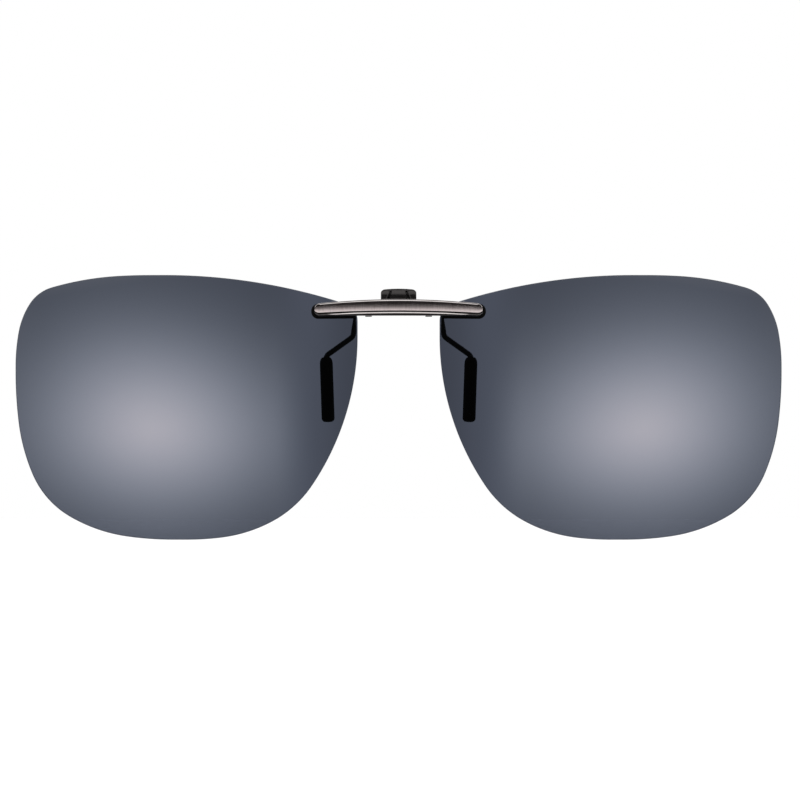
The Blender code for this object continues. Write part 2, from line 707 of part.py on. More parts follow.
def sleeve_profile(bore_end):
    """Height 0 is the open top; the sleeve reaches down from it."""
    profile = [(0.0, -bore_end), (SLEEVE_BORE_R, -bore_end), (SLEEVE_BORE_R, 0.0)]
    radial, axial = SLEEVE_SHOULDER
    profile.append((SLEEVE_R - radial, 0.0))
    for i in range(1, 6):
        turn = math.radians(90.0 - 18.0 * i)
        profile.append(
            (SLEEVE_R - radial + radial * math.cos(turn), axial * math.sin(turn) - axial)
        )
    for i in range(6):
        turn = math.radians(18.0 * i)
        out = SLEEVE_R - SLEEVE_TIP_R + SLEEVE_TIP_R * math.cos(turn)
        profile.append((out, SLEEVE_TIP_R - SLEEVE_LONG - SLEEVE_TIP_R * math.sin(turn)))
    profile.append((0.0, -SLEEVE_LONG))
    return profile


def build_sleeve(side, hand):
    """A blind tube over the last straight run of the clip wire."""
    bend, tip = (Vector(place[:3]) for place in wire_path(side)[-2:])
    run = (tip - bend).normalized()
    top = bend + run * ((bend.z - SLEEVE_TOP_Z) / -run.z)
    bore_end = (tip - top).length + SLEEVE_BORE_GAP
    sleeve = turned(f"{hand}_sleeve", sleeve_profile(bore_end), 24, BLACK_RUBBER)
    upward = (-run).to_track_quat("Z", "Y").to_matrix().to_4x4()
    sleeve.matrix_world = Matrix.Translation(top * MM) @ upward
    return smooth(applied(sleeve))


# --------------------------------------------------------------------- build
hinge_axis = build_hinge_axis()
build_bar()
for side, hand in SIDES:
    build_lens(side, hand)
    build_gasket(side, hand)
    build_rear_pad(side, hand)
    for place, x in SCREW_X.items():
        build_lens_screw(f"{hand}_{place}_lens_screw", side * x)
build_bracket()
build_pin()
build_spring()

moving_parts = [build_plate(), build_grip()]
for side, hand in SIDES:
    moving_parts += [build_clip_wire(side, hand), build_sleeve(side, hand)]
for part in moving_parts:
    hang(part, hinge_axis)

for cutter in list(CUTTERS.objects):
    bpy.data.objects.remove(cutter, do_unlink=True)
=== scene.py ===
"""Clip-on sunglasses: two smoke lenses under a metal bridge bar, with a sprung clip behind it.

Points and sizes are in millimetres and become metres when a mesh is made. The front
faces -Y, the wearer is at +Y and the wearer's left is +X. The lenses stand on z = 0.
"""
import math

import bmesh
import bpy
import numpy as np
from mathutils import Matrix, Vector
from mathutils.geometry import delaunay_2d_cdt


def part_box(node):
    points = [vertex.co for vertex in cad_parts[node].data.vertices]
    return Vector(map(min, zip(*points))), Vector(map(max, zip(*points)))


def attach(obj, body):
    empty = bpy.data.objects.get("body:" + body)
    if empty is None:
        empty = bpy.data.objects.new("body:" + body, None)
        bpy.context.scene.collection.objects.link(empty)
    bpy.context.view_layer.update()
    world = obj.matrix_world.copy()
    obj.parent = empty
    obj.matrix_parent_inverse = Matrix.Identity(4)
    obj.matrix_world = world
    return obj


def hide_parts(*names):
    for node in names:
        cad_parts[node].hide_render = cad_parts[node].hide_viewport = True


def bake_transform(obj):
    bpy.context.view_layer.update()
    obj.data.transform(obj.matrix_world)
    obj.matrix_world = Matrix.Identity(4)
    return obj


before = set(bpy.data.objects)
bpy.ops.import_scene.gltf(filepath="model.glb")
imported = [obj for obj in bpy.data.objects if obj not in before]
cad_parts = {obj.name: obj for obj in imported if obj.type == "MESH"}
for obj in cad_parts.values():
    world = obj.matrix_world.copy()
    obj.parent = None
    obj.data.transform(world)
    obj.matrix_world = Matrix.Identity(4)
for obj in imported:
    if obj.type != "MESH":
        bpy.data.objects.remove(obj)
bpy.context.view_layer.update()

MM = 0.001
SCENE = bpy.context.scene
SIDES = ((1, "left"), (-1, "right"))


# ------------------------------------------------------- places, from the CAD
def cad_box(name):
    """Low and high corners of a CAD piece."""
    low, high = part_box(name)
    return low / MM, high / MM


bar_low, bar_high = cad_box("bridge_bar")
BAR_FACE_Y, BAR_BACK_Y = bar_low.y, bar_high.y
BAR_HALF, BAR_TOP_Z = bar_high.x, bar_high.z
PAD_REAR_Y = cad_box("left_rear_pad")[1].y
pin_low, pin_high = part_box("hinge_pin")
PIN_CENTRE = (pin_low + pin_high) / 2 / MM
HINGE_Y, HINGE_Z = PIN_CENTRE.y, PIN_CENTRE.z
grip_low, grip_high = cad_box("thumb_grip")
GRIP_FRONT, GRIP_BACK = grip_low.y, grip_high.y

# ------------------------------------------------------------ driving sizes
# bar: its top and foot are shallow arcs
BAR_TOP_R = 132.0
BAR_FOOT_Z, BAR_FOOT_R = 39.66, 1200.0
BAR_END_R = 1.0
BAR_REACH = BAR_HALF - BAR_END_R

# lenses: parts of a sphere, each turned back round the face
LENS_CENTRE_X, LENS_CENTRE_Z = 37.65, 23.45
LENS_R, LENS_THICK = 132.0, 1.1
LENS_BACK_R = LENS_R - LENS_THICK
LENS_WRAP = math.radians(8.0)
LENS_APEX_Y = BAR_BACK_Y + 0.545
SPHERE_X = LENS_CENTRE_X - LENS_R * math.sin(LENS_WRAP)
SPHERE_Y = LENS_APEX_Y + LENS_R * math.cos(LENS_WRAP)
LENS_NOSE_X, LENS_TEMPLE_X = 7.25, 68.0
# corners of the boxed lens: (radius, heading in degrees where the arc ends), clockwise
LENS_CORNERS = (
    ((104.0, -3), (54.0, -16), (7.0, -58), (14.0, -80), (34.0, -90)),       # brow to temple
    ((74.0, -97), (34.0, -113), (16.0, -150), (28.0, -172), (58.0, -180)),  # temple to foot
    ((50.0, -187), (26.0, -207), (20.0, -236), (47.0, -270)),               # foot to nose
    ((3.2, -342), (104.0, -360)),                                           # nose to brow
)
SCREW_X, SCREW_Z = (10.6, 13.5), 40.72
SCREW_HOLE_R = 0.66

# clip plate
PLATE_Y, PLATE_THICK = BAR_BACK_Y + 3.15, 0.55
PLATE_BACK_Y = PLATE_Y + PLATE_THICK
TAB_HALF, TAB_TOP = 1.9, 44.15


# ------------------------------------------------------------- mesh helpers
def mesh_of(name, points, faces):
    mesh = bpy.data.meshes.new(name)
    corners = [list(map(int, face)) for face in faces]
    mesh.from_pydata((np.asarray(points, float) * MM).tolist(), [], corners)
    bm = bmesh.new()
    bm.from_mesh(mesh)
    bmesh.ops.recalc_face_normals(bm, faces=bm.faces)
    bm.to_mesh(mesh)
    bm.free()
    return mesh


def loose(name, mesh):
    obj = bpy.data.objects.new(name, mesh)
    SCENE.collection.objects.link(obj)
    return obj


def solid(name, points, faces, matrix=None):
    """A mesh object, its mesh moved by a matrix in millimetres."""
    mesh = mesh_of(name, points, faces)
    if matrix is not None:
        scaled = matrix.copy()
        scaled.translation = matrix.translation * MM
        mesh.transform(scaled)
    return loose(name, mesh)


def finish(obj, body, stands_for, slot, angle=35.0):
    """Makes an object a piece of the model, with the finish of its slot.

    Edges sharper than angle stay sharp. With no angle its shading is left alone."""
    obj.data.materials.clear()
    for one in FINISHES[slot]:
        obj.data.materials.append(one)
    if angle:
        obj.data.shade_smooth()
        obj.data.set_sharp_from_angle(angle=math.radians(angle))
    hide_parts(stands_for)
    if body:
        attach(obj, body)


def applied(obj):
    """The object with its modifiers applied, under the same name."""
    weld = 2e-7
    bpy.context.view_layer.update()
    graph = bpy.context.evaluated_depsgraph_get()
    mesh = bpy.data.meshes.new_from_object(obj.evaluated_get(graph))
    mesh.transform(obj.matrix_world)
    bm = bmesh.new()
    bm.from_mesh(mesh)
    bmesh.ops.remove_doubles(bm, verts=bm.verts, dist=weld)
    bmesh.ops.dissolve_degenerate(bm, edges=bm.edges, dist=weld)
    bmesh.ops.recalc_face_normals(bm, faces=bm.faces)
    bm.to_mesh(mesh)
    bm.free()
    name = obj.name
    bpy.data.objects.remove(obj, do_unlink=True)
    return loose(name, mesh)


def combined(obj, tools, operation="DIFFERENCE"):
    for i, tool in enumerate(tools):
        boolean = obj.modifiers.new(f"cut{i}", "BOOLEAN")
        boolean.operation = operation
        boolean.solver = "EXACT"
        boolean.object = tool
    obj = applied(obj)
    for tool in tools:
        bpy.data.objects.remove(tool, do_unlink=True)
    return obj


def bevelled(obj, width):
    bevel = obj.modifiers.new("bevel", "BEVEL")
    bevel.width = width * MM
    bevel.segments = 3
    bevel.limit_method = "ANGLE"
    bevel.angle_limit = math.radians(38.0)
    bevel.miter_outer = "MITER_ARC"
    return applied(obj)


def walls(rings):
    """Quads between consecutive rings of vertex numbers."""
    faces = []
    for a, b in zip(rings, rings[1:]):
        for i in range(len(a)):
            j = (i + 1) % len(a)
            faces.append((a[i], a[j], b[j], b[i]))
    return faces


def smoothstep(low, high, value):
    t = np.clip((value - low) / (high - low), 0.0, 1.0)
    return t * t * (3 - 2 * t)


def roll_off(distance, radius):
    """How far a rounded edge has fallen at a distance in from the outline."""
    share = min(max(distance, 0.0), radius) / radius
    return radius * (1 - math.sqrt(max(0.0, 1 - (1 - share) ** 2)))


# -------------------------------------------------------- outlines and paths
def arc(centre, radius, start, end, steps):
    """Points round part of a circle or an ellipse, with its angles in degrees."""
    across, up = radius if isinstance(radius, tuple) else (radius, radius)
    return [
        (centre[0] + across * math.cos(math.radians(t)), centre[1] + up * math.sin(math.radians(t)))
        for t in np.linspace(start, end, steps + 1)
    ]


def circle(x, z, radius):
    turn = np.linspace(0, 2 * math.pi, 40, endpoint=False)
    return np.column_stack([x + radius * np.cos(turn), z + radius * np.sin(turn)])


def anticlockwise(outline):
    x, z = outline[:, 0], outline[:, 1]
    area = (x * np.roll(z, -1) - np.roll(x, -1) * z).sum()
    return outline if area > 0 else outline[::-1].copy()


def outward(outline):
    """Mitred outward direction at each corner of an anticlockwise outline."""
    before = outline - np.roll(outline, 1, 0)
    after = np.roll(outline, -1, 0) - outline
    before /= np.linalg.norm(before, axis=1)[:, None]
    after /= np.linalg.norm(after, axis=1)[:, None]
    out_before = np.column_stack([before[:, 1], -before[:, 0]])
    out_after = np.column_stack([after[:, 1], -after[:, 0]])
    return (out_before + out_after) / (1 + (out_before * out_after).sum(1))[:, None]


def run_along(path):
    """Distance from the start at each point of a path."""
    return np.concatenate([[0], np.cumsum(np.linalg.norm(np.diff(path, axis=0), axis=1))])


def resampled(outline, pitch):
    """A closed outline with evenly spaced points."""
    loop = np.vstack([outline, outline[:1]])
    run = run_along(loop)
    at = np.linspace(0, run[-1], int(round(run[-1] / pitch)) + 1)[:-1]
    return np.column_stack([np.interp(at, run, loop[:, k]) for k in range(2)])


def evenly(path, pitch):
    """An open path with evenly spaced points."""
    run = run_along(path)
    at = np.linspace(0, run[-1], int(run[-1] / pitch) + 2)
    return np.column_stack([np.interp(at, run, path[:, k]) for k in range(3)])


def round_corners(corners):
    """A path through (x, y, z, radius) corners, with each inner one rounded."""
    steps = 12
    points = [Vector(corners[0][:3])]
    for before, corner, after in zip(corners, corners[1:], corners[2:]):
        here, radius = Vector(corner[:3]), corner[3]
        back = (Vector(before[:3]) - here).normalized()
        onward = (Vector(after[:3]) - here).normalized()
        half = back.angle(onward) / 2
        reach = radius / math.tan(half)
        centre = here + (back + onward).normalized() * radius / math.sin(half)
        first, last = here + back * reach - centre, here + onward * reach - centre
        spread = first.angle(last)
        for i in range(steps + 1):
            share = i / steps
            points.append(
                centre
                + (first * math.sin((1 - share) * spread) + last * math.sin(share * spread))
                / math.sin(spread)
            )
    points.append(Vector(corners[-1][:3]))
    return np.array([list(point) for point in points])


def inside(outline, points):
    x, z = points[:, 0][:, None], points[:, 1][:, None]
    x1, z1 = outline[:, 0], outline[:, 1]
    x2, z2 = np.roll(x1, -1), np.roll(z1, -1)
    over = (z1 > z) != (z2 > z)
    with np.errstate(divide="ignore", invalid="ignore"):
        at = (x2 - x1) * (z - z1) / (z2 - z1) + x1
    return (over & (x < at)).sum(1) % 2 == 1


# ------------------------------------------------------------------- plates
def level(y):
    return lambda spots: np.full(len(spots), float(y))


def face_normals(depth, spots, sign):
    """Unit normals of a depth surface. They face the front where sign is 1."""
    step = 1e-3
    slope_x = (depth(spots + [step, 0]) - depth(spots - [step, 0])) / (2 * step)
    slope_z = (depth(spots + [0, step]) - depth(spots - [0, step])) / (2 * step)
    normals = np.column_stack([slope_x, -np.ones(len(spots)), slope_z]) * sign
    return normals / np.linalg.norm(normals, axis=1)[:, None]


def face_spots(loops, pitch):
    """Extra spots for a face inside the first loop and outside the others.

    A staggered grid gives their number. They all lie on its first two spots."""
    low, high = loops[0].min(0), loops[0].max(0)
    grid = []
    for row, z in enumerate(np.arange(low[1] + pitch / 2, high[1], pitch * 0.866)):
        first = low[0] + pitch * (0.25 + 0.5 * (row % 2))
        grid += [(x, z) for x in np.arange(first, high[0], pitch)]
    grid = np.array(grid)
    grid = grid[inside(loops[0], grid)]

    def clearance(loop):
        return np.linalg.norm(grid[:, None] - loop[None], axis=2).min(1)

    # spots clear of the outline go to the grid's second spot, the others to its first
    grid = grid[(clearance(loops[0]) > pitch * 0.45).astype(int)]
    for hole in loops[1:]:
        grid = grid[(clearance(hole) > pitch * 0.3) & ~inside(hole, grid)]
    return grid


def cap_faces(loops, extra):
    """Triangles that fill the first loop less the others, as places in all the points."""
    points, edges = [], []
    for loop in loops:
        start = len(points)
        points += [Vector(spot) for spot in loop]
        edges += [(start + i, start + (i + 1) % len(loop)) for i in range(len(loop))]
    points += [Vector(spot) for spot in extra]
    _, _, triangles, origins, _, _ = delaunay_2d_cdt(points, edges, [], 1, 1e-6)
    found = []
    for triangle in triangles:
        corners = [origins[v][0] for v in triangle]
        middle = np.array([points[i] for i in corners]).mean(0)
        if not any(inside(hole, middle[None])[0] for hole in loops[1:]):
            found.append(corners)
    return found


def prism(outline, low, high, low_round, high_round, holes=(), pitch=None, steps=4):
    """A plate between two depths over an (x, z) outline, with rounded edges.

    low and high give depths at (n, 2) spots. A hole is (x, z, profile), and its
    profile runs front to back as (radius, "low" or "high", distance inwards).
    Returns points, faces and, for each point, its normal away from the holes."""
    outline = anticlockwise(np.asarray(outline, float))
    out = outward(outline)
    side = np.column_stack([out[:, 0], np.zeros(len(out)), out[:, 1]])
    side /= np.linalg.norm(side, axis=1)[:, None]
    points, normals, rings = [], [], []

    def ring(spots, y, normal):
        start = len(points)
        points.extend(np.column_stack([spots[:, 0], y, spots[:, 1]]).tolist())
        normals.extend(normal.tolist())
        return list(range(start, start + len(spots)))

    for depth, radius, sign in ((low, low_round, 1), (high, high_round, -1)):
        made = []
        for i in range(steps + 1 if radius else 1):
            turn = math.pi / 2 * i / steps
            spots = outline - out * (radius * (1 - math.sin(turn)))
            normal = face_normals(depth, spots, sign) * math.cos(turn) + side * math.sin(turn)
            y = depth(spots) + sign * radius * (1 - math.cos(turn))
            made.append(ring(spots, y, normal))
        rings += made if sign == 1 else made[::-1]
    faces = walls(rings)

    hole_rings = []
    for x, z, profile in holes:
        made = []
        for radius, kind, inset in profile:
            spots = circle(x, z, radius)
            depth, sign = (low, 1) if kind == "low" else (high, -1)
            made.append(ring(spots, depth(spots) + sign * inset, face_normals(depth, spots, sign)))
        faces += walls(made)
        hole_rings.append(made)

    flat = np.asarray(points)[:, [0, 2]]
    for end, depth, sign in ((0, low, 1), (-1, high, -1)):
        borders = [rings[end]] + [made[end] for made in hole_rings]
        loops = [flat[border] for border in borders]
        extra = face_spots(loops, pitch) if pitch else np.zeros((0, 2))
        numbers = sum(borders, [])
        if len(extra):
            numbers += ring(extra, depth(extra), face_normals(depth, extra, sign))
        faces += [[numbers[i] for i in corners] for corners in cap_faces(loops, extra)]
    return np.array(points), faces, np.array(normals)


def slab(name, outline, low, high):
    """A plain plate over an (x, z) outline between two depths."""
    points, faces, _ = prism(outline, level(low), level(high), 0.0, 0.0)
    return solid(name, points, faces)


def cheek(name, outline, x_from, x_to):
    """A slab over a (y, z) outline between two x."""
    low, high = sorted((x_from, x_to))
    points, faces, _ = prism(outline, level(low), level(high), 0.0, 0.0)
    return solid(name, points[:, [1, 0, 2]], faces)


def box(name, low, high, matrix=None):
    points = [
        (x, y, z) for x in (low[0], high[0]) for y in (low[1], high[1]) for z in (low[2], high[2])
    ]
    faces = [(0, 1, 3, 2), (4, 6, 7, 5), (0, 4, 5, 1), (2, 3, 7, 6), (0, 2, 6, 4), (1, 5, 7, 3)]
    return solid(name, points, faces, matrix)


# -------------------------------------------------- turned, swept and lofted
def lathe(name, profile, steps, matrix):
    """A (radius, height) profile turned about local Z. Its ends at radius 0 close it."""
    points, rings = [], []
    for radius, height in profile:
        start = len(points)
        if radius < 1e-9:
            rings.append([start] * steps)
            points.append((0.0, 0.0, height))
        else:
            rings.append(list(range(start, start + steps)))
            turn = np.linspace(0, 2 * math.pi, steps, endpoint=False)
            points += [(radius * math.cos(t), radius * math.sin(t), height) for t in turn]
    faces = [list(dict.fromkeys(quad)) for quad in walls(rings)]
    return solid(name, points, [face for face in faces if len(face) > 2], matrix)


def sweep(name, path, half, sides):
    """A tube with domed ends along a path that leaves square to X.

    half gives (across, through) half widths at each place."""
    dome = 0.5  # height of an end's dome, as a share of the through half width
    along = np.gradient(path, axis=0)
    along /= np.linalg.norm(along, axis=1)[:, None]
    across = np.zeros_like(path)
    direction = np.array((1.0, 0.0, 0.0))
    for i in range(len(path) - 1, -1, -1):
        direction = direction - along[i] * (direction @ along[i])
        direction /= np.linalg.norm(direction)
        across[i] = direction
    through = np.cross(along, across)

    last = len(path) - 1
    reach = {end: sign * along[end] * half[end][1] * dome for end, sign in ((0, -1), (last, 1))}

    def dome_sections(end):
        turns = [math.pi / 2 * k / 5 for k in range(1, 5)]
        return [(path[end] + reach[end] * math.sin(t), end, math.cos(t)) for t in turns]

    sections = dome_sections(0)[::-1]
    sections += [(path[i], i, 1.0) for i in range(len(path))]
    sections += dome_sections(last)
    turn = np.linspace(0, 2 * math.pi, sides, endpoint=False)
    points, rings = [], []
    for at, i, scale in sections:
        wide, deep = half[i]
        rings.append(list(range(len(points), len(points) + sides)))
        points.extend((
            at
            + np.outer(np.cos(turn) * wide * scale, across[i])
            + np.outer(np.sin(turn) * deep * scale, through[i])
        ).tolist())
    faces = walls(rings)
    for ring, end in ((rings[0], 0), (rings[-1], last)):
        points.append((path[end] + reach[end]).tolist())
        faces += [(ring[i], ring[(i + 1) % sides], len(points) - 1) for i in range(sides)]
    return solid(name, points, faces)


def loft_stations(half, end_long, end_count, middle_count):
    """x from -half to half, closing up over a length at each end."""
    nudge = 1e-4  # keeps the end loops from shrinking to nothing
    inner = half - end_long
    end = inner + end_long * np.sin(np.linspace(0, math.pi / 2, end_count))
    stations = np.concatenate([-end[::-1], np.linspace(-inner, inner, middle_count)[1:-1], end])
    stations[0] += nudge
    stations[-1] -= nudge
    return stations


def close_section(loop, x, back, foot, top, foot_round, top_round, counts):
    """Carries a front that runs top to foot on round the back of its section.

    counts are points on the foot, its rear corner, the back, the top's corner, the top."""
    front_top = loop[0][1]
    on_foot, foot_corner, on_back, top_corner, on_top = counts
    for y in np.linspace(loop[-1][1], back - foot_round, on_foot)[1:]:
        loop.append((x, y, foot))
    for t in np.linspace(0, math.pi / 2, foot_corner)[1:]:
        y = back - foot_round + foot_round * math.sin(t)
        loop.append((x, y, foot + foot_round * (1 - math.cos(t))))
    for z in np.linspace(foot + foot_round, top - top_round, on_back)[1:]:
        loop.append((x, back, z))
    for t in np.linspace(0, math.pi / 2, top_corner)[1:]:
        y = back - top_round * (1 - math.cos(t))
        loop.append((x, y, top - top_round + top_round * math.sin(t)))
    for y in np.linspace(back - top_round, front_top, on_top)[1:-1]:
        loop.append((x, y, top))


def lofted(name, loops):
    """A solid over a row of equal loops, each end closed by a fan."""
    count = len(loops[0])
    points = [point for loop in loops for point in loop]
    rings = [list(range(i * count, (i + 1) * count)) for i in range(len(loops))]
    faces = walls(rings)
    for ring in (rings[0], rings[-1]):
        points.append(tuple(np.mean([points[i] for i in ring], axis=0)))
        faces += [(ring[i], ring[(i + 1) % count], len(points) - 1) for i in range(count)]
    return solid(name, points, faces)


# ---------------------------------------------------------------- materials
class Graph:
    """Short calls for building a node tree."""

    def __init__(self, tree):
        self.tree = tree
        tree.nodes.clear()

    def add(self, kind, inputs=None, **settings):
        made = self.tree.nodes.new("ShaderNode" + kind)
        for key, value in settings.items():
            setattr(made, key, value)
        for key, value in (inputs or {}).items():
            socket = made.inputs[key]
            if isinstance(value, bpy.types.NodeSocket):
                self.tree.links.new(value, socket)
            else:
                socket.default_value = value
        return made

    def math(self, operation, a, b=0.0):
        return self.add("Math", {0: a, 1: b, 2: 0.0}, operation=operation).outputs[0]

    def times(self, value, by):
        return self.math("MULTIPLY", value, by)

    def mix(self, share, low, high):
        """The colour low where share is 0, and high where it is 1."""
        low, high = ((*c, 1.0) if isinstance(c, tuple) else c for c in (low, high))
        return self.add("Mix", {0: share, 6: low, 7: high}, data_type="RGBA").outputs[2]

    def ramp(self, value, stops):
        """A grey for value, from (place, level) stops."""
        made = self.add("ValToRGB", {0: value})
        elements = made.color_ramp.elements
        while len(elements) > 1:
            elements.remove(elements[-1])
        for i, (place, grey) in enumerate(stops):
            element = elements[0] if i == 0 else elements.new(place)
            element.position = place
            element.color = (grey, grey, grey, 1.0)
        return made.outputs[0]

    def remap(self, value, source, target=(0.0, 1.0), smooth=False):
        """value taken from the source range to the target range, and held inside it."""
        return self.add(
            "MapRange", {0: value, 1: source[0], 2: source[1], 3: target[0], 4: target[1]},
            interpolation_type="SMOOTHSTEP" if smooth else "LINEAR",
        ).outputs[0]

    def noise(self, scale, detail=2.0, rough=0.5, stretch=(1.0, 1.0, 1.0)):
        """Noise with its scale per millimetre, times stretch on each axis."""
        at = self.add("TexCoord").outputs["Object"]
        per_mm = tuple(1000.0 * s for s in stretch)
        at = self.add("VectorMath", {0: at, 1: per_mm}, operation="MULTIPLY").outputs[0]
        inputs = {"Vector": at, "Scale": scale, "Detail": detail, "Roughness": rough}
        return self.add("TexNoise", inputs).outputs["Fac"]

    def bump(self, height, depth, strength, base=None):
        inputs = {"Height": height, "Distance": depth * MM, "Strength": strength}
        if base is not None:
            inputs["Normal"] = base
        return self.add("Bump", inputs).outputs[0]

    def principled(self, **inputs):
        named = {key.replace("_", " "): value for key, value in inputs.items()}
        return self.add("BsdfPrincipled", named).outputs[0]

    def output(self, shader):
        self.add("OutputMaterial", {0: shader})


def material(name):
    made = bpy.data.materials.new(name)
    made.use_nodes = True
    return made, Graph(made.node_tree)


def gunmetal_material(name):
    """Warm grey plated metal. Where the mesh's satin value is 1 it is brushed across."""
    made, g = material(name)
    satin = g.add("Attribute", attribute_name="satin").outputs["Fac"]
    streak = g.noise(scale=5.6, detail=4.0, rough=0.62, stretch=(1.0, 0.25, 0.16))
    fine = g.noise(scale=17.0, detail=3.0, rough=0.6, stretch=(1.0, 0.3, 0.22))
    cloud = g.noise(scale=0.42, detail=3.0, rough=0.5)
    bright = g.mix(cloud, low=(0.480, 0.445, 0.436), high=(0.560, 0.520, 0.510))
    streak_share = g.remap(streak, source=(0.34, 0.68))
    dull = g.mix(streak_share, low=(0.44, 0.380, 0.375), high=(0.57, 0.500, 0.495))
    colour = g.mix(satin, low=bright, high=dull)
    polished = g.remap(fine, source=(0.3, 0.7), target=(0.10, 0.15))
    brushed = g.remap(streak, source=(0.3, 0.7), target=(0.31, 0.39))
    rough = g.add("Mix", {0: satin, 2: polished, 3: brushed}, data_type="FLOAT").outputs[0]
    marks = g.math("ADD", g.times(streak, by=0.6), g.times(fine, by=0.4))
    normal = g.bump(g.times(marks, by=satin), depth=0.014, strength=0.55)
    pitting = g.noise(scale=30.0, detail=2.0)
    normal = g.bump(pitting, depth=0.0008, strength=0.35, base=normal)
    g.output(g.principled(Base_Color=colour, Metallic=1.0, Roughness=rough, Normal=normal))
    return made


def steel_material(name, light, dark, roughness, tarnish, stretch=(1.0, 1.0, 1.0)):
    """Bright steel with fine marks and a little tarnish."""
    made, g = material(name)
    marks = g.noise(scale=11.0, detail=3.0, rough=0.6, stretch=stretch)
    stain = g.noise(scale=1.3, detail=4.0, rough=0.6)
    patches = g.remap(stain, source=(0.5, 0.72), target=(0.0, tarnish))
    colour = g.mix(marks, low=dark, high=light)
    tarnished = tuple(0.45 * c for c in dark)
    colour = g.mix(patches, low=colour, high=tarnished)
    rough = g.remap(marks, source=(0.3, 0.7), target=roughness)
    rough = g.math("ADD", rough, g.times(patches, by=0.3))
    normal = g.bump(marks, depth=0.006, strength=0.4)
    g.output(g.principled(Base_Color=colour, Metallic=1.0, Roughness=rough, Normal=normal))
    return made


def black_metal_material(name):
    """Black plated metal, rubbed to dull grey in small patches."""
    made, g = material(name)
    rubbing = g.noise(scale=2.4, detail=5.0, rough=0.65)
    scuff = g.remap(rubbing, source=(0.60, 0.74), target=(0.0, 0.55))
    fine = g.noise(scale=16.0, detail=3.0, rough=0.6, stretch=(1.0, 1.0, 0.35))
    plating = g.mix(fine, low=(0.010, 0.010, 0.011), high=(0.020, 0.019, 0.020))
    colour = g.mix(scuff, low=plating, high=(0.075, 0.070, 0.068))
    rough = g.remap(fine, source=(0.3, 0.7), target=(0.27, 0.40))
    rough = g.math("SUBTRACT", rough, g.times(scuff, by=0.08))
    normal = g.bump(fine, depth=0.006, strength=0.45)
    g.output(g.principled(
        Base_Color=colour, Metallic=g.times(scuff, by=0.8), Roughness=rough, Normal=normal,
        Specular_IOR_Level=0.5, Coat_Weight=0.15, Coat_Roughness=0.25,
    ))
    return made


def black_soft_material(name, greys, roughness, grain, depth, dust, shine, tint=(1.0, 1.0, 1.0)):
    """Black rubber, nylon or moulded plastic with a fine texture and a trace of dust."""
    made, g = material(name)
    low, high = greys
    speckle = g.noise(scale=grain, detail=3.0, rough=0.6)
    broad = g.noise(scale=0.8, detail=3.0, rough=0.55)
    dusting = g.noise(scale=5.0, detail=5.0, rough=0.7)
    settled = g.remap(dusting, source=(0.58, 0.78), target=(0.0, dust))
    cool_dark, warm_light = (low, low, low * 1.04), (high, high * 0.985, high * 0.97)
    speckled = (high * 1.5, high * 1.47, high * 1.44)
    colour = g.mix(broad, low=cool_dark, high=warm_light)
    colour = g.mix(g.times(speckle, by=0.35), low=colour, high=speckled)
    colour = g.mix(settled, low=colour, high=(0.06, 0.059, 0.057))
    rough = g.remap(speckle, source=(0.3, 0.7), target=roughness)
    rough = g.math("ADD", rough, g.times(settled, by=0.3))
    normal = g.bump(speckle, depth=depth, strength=0.6)
    normal = g.bump(broad, depth=depth * 2, strength=0.25, base=normal)
    g.output(g.principled(
        Base_Color=colour, Roughness=rough, Normal=normal,
        Specular_IOR_Level=shine, Specular_Tint=(*tint, 1.0),
    ))
    return made


def bell(g, value, centre, width):
    """A soft band, 1 where value is centre and falling off over width."""
    away = g.math("DIVIDE", g.math("SUBTRACT", value, centre), width)
    return g.math("EXPONENT", g.times(g.times(away, by=away), by=-1.0))


def lens_material(name):
    """Smoke polarising lens: each surface passes the root of what the lens passes."""
    passes = (0.0486, 0.0555, 0.0750)  # what a whole lens passes, by colour
    root = tuple(math.sqrt(c) for c in passes)
    darker, lighter, nose_tint = (tuple(k * c for c in root) for k in (0.988, 1.012, 1.18))
    made, g = material(name)
    cloud = g.noise(scale=0.06, detail=2.0, rough=0.5)
    smudge = g.noise(scale=0.35, detail=5.0, rough=0.65, stretch=(1.0, 1.0, 0.6))
    smear = g.remap(smudge, source=(0.5, 0.8))
    tint = g.mix(cloud, low=darker, high=lighter)
    # the tint is a little lighter in a soft band near the nose
    place = g.add("SeparateXYZ", {0: g.add("TexCoord").outputs["Object"]})
    away = g.math("ABSOLUTE", place.outputs[0])
    band = bell(g, away, centre=15.5 * MM, width=5.0 * MM)
    tint = g.mix(band, low=tint, high=nose_tint)
    through = g.add("BsdfTransparent", {"Color": tint}).outputs[0]
    ripple = g.bump(g.noise(scale=0.10, detail=1.0, rough=0.4), depth=0.004, strength=0.15)
    rough = g.remap(smear, source=(0.0, 1.0), target=(0.012, 0.035))
    mirror = {"Color": (1, 1, 1, 1), "Roughness": rough, "Normal": ripple}
    mirror = g.add("BsdfGlossy", mirror).outputs[0]
    # only a surface met from outside mirrors
    facing = g.math("SUBTRACT", 1.0, g.add("NewGeometry").outputs["Backfacing"])
    share = g.times(g.add("Fresnel", {"IOR": 1.52}).outputs[0], by=facing)
    g.output(g.add("MixShader", {0: share, 1: through, 2: mirror}).outputs[0])
    return made


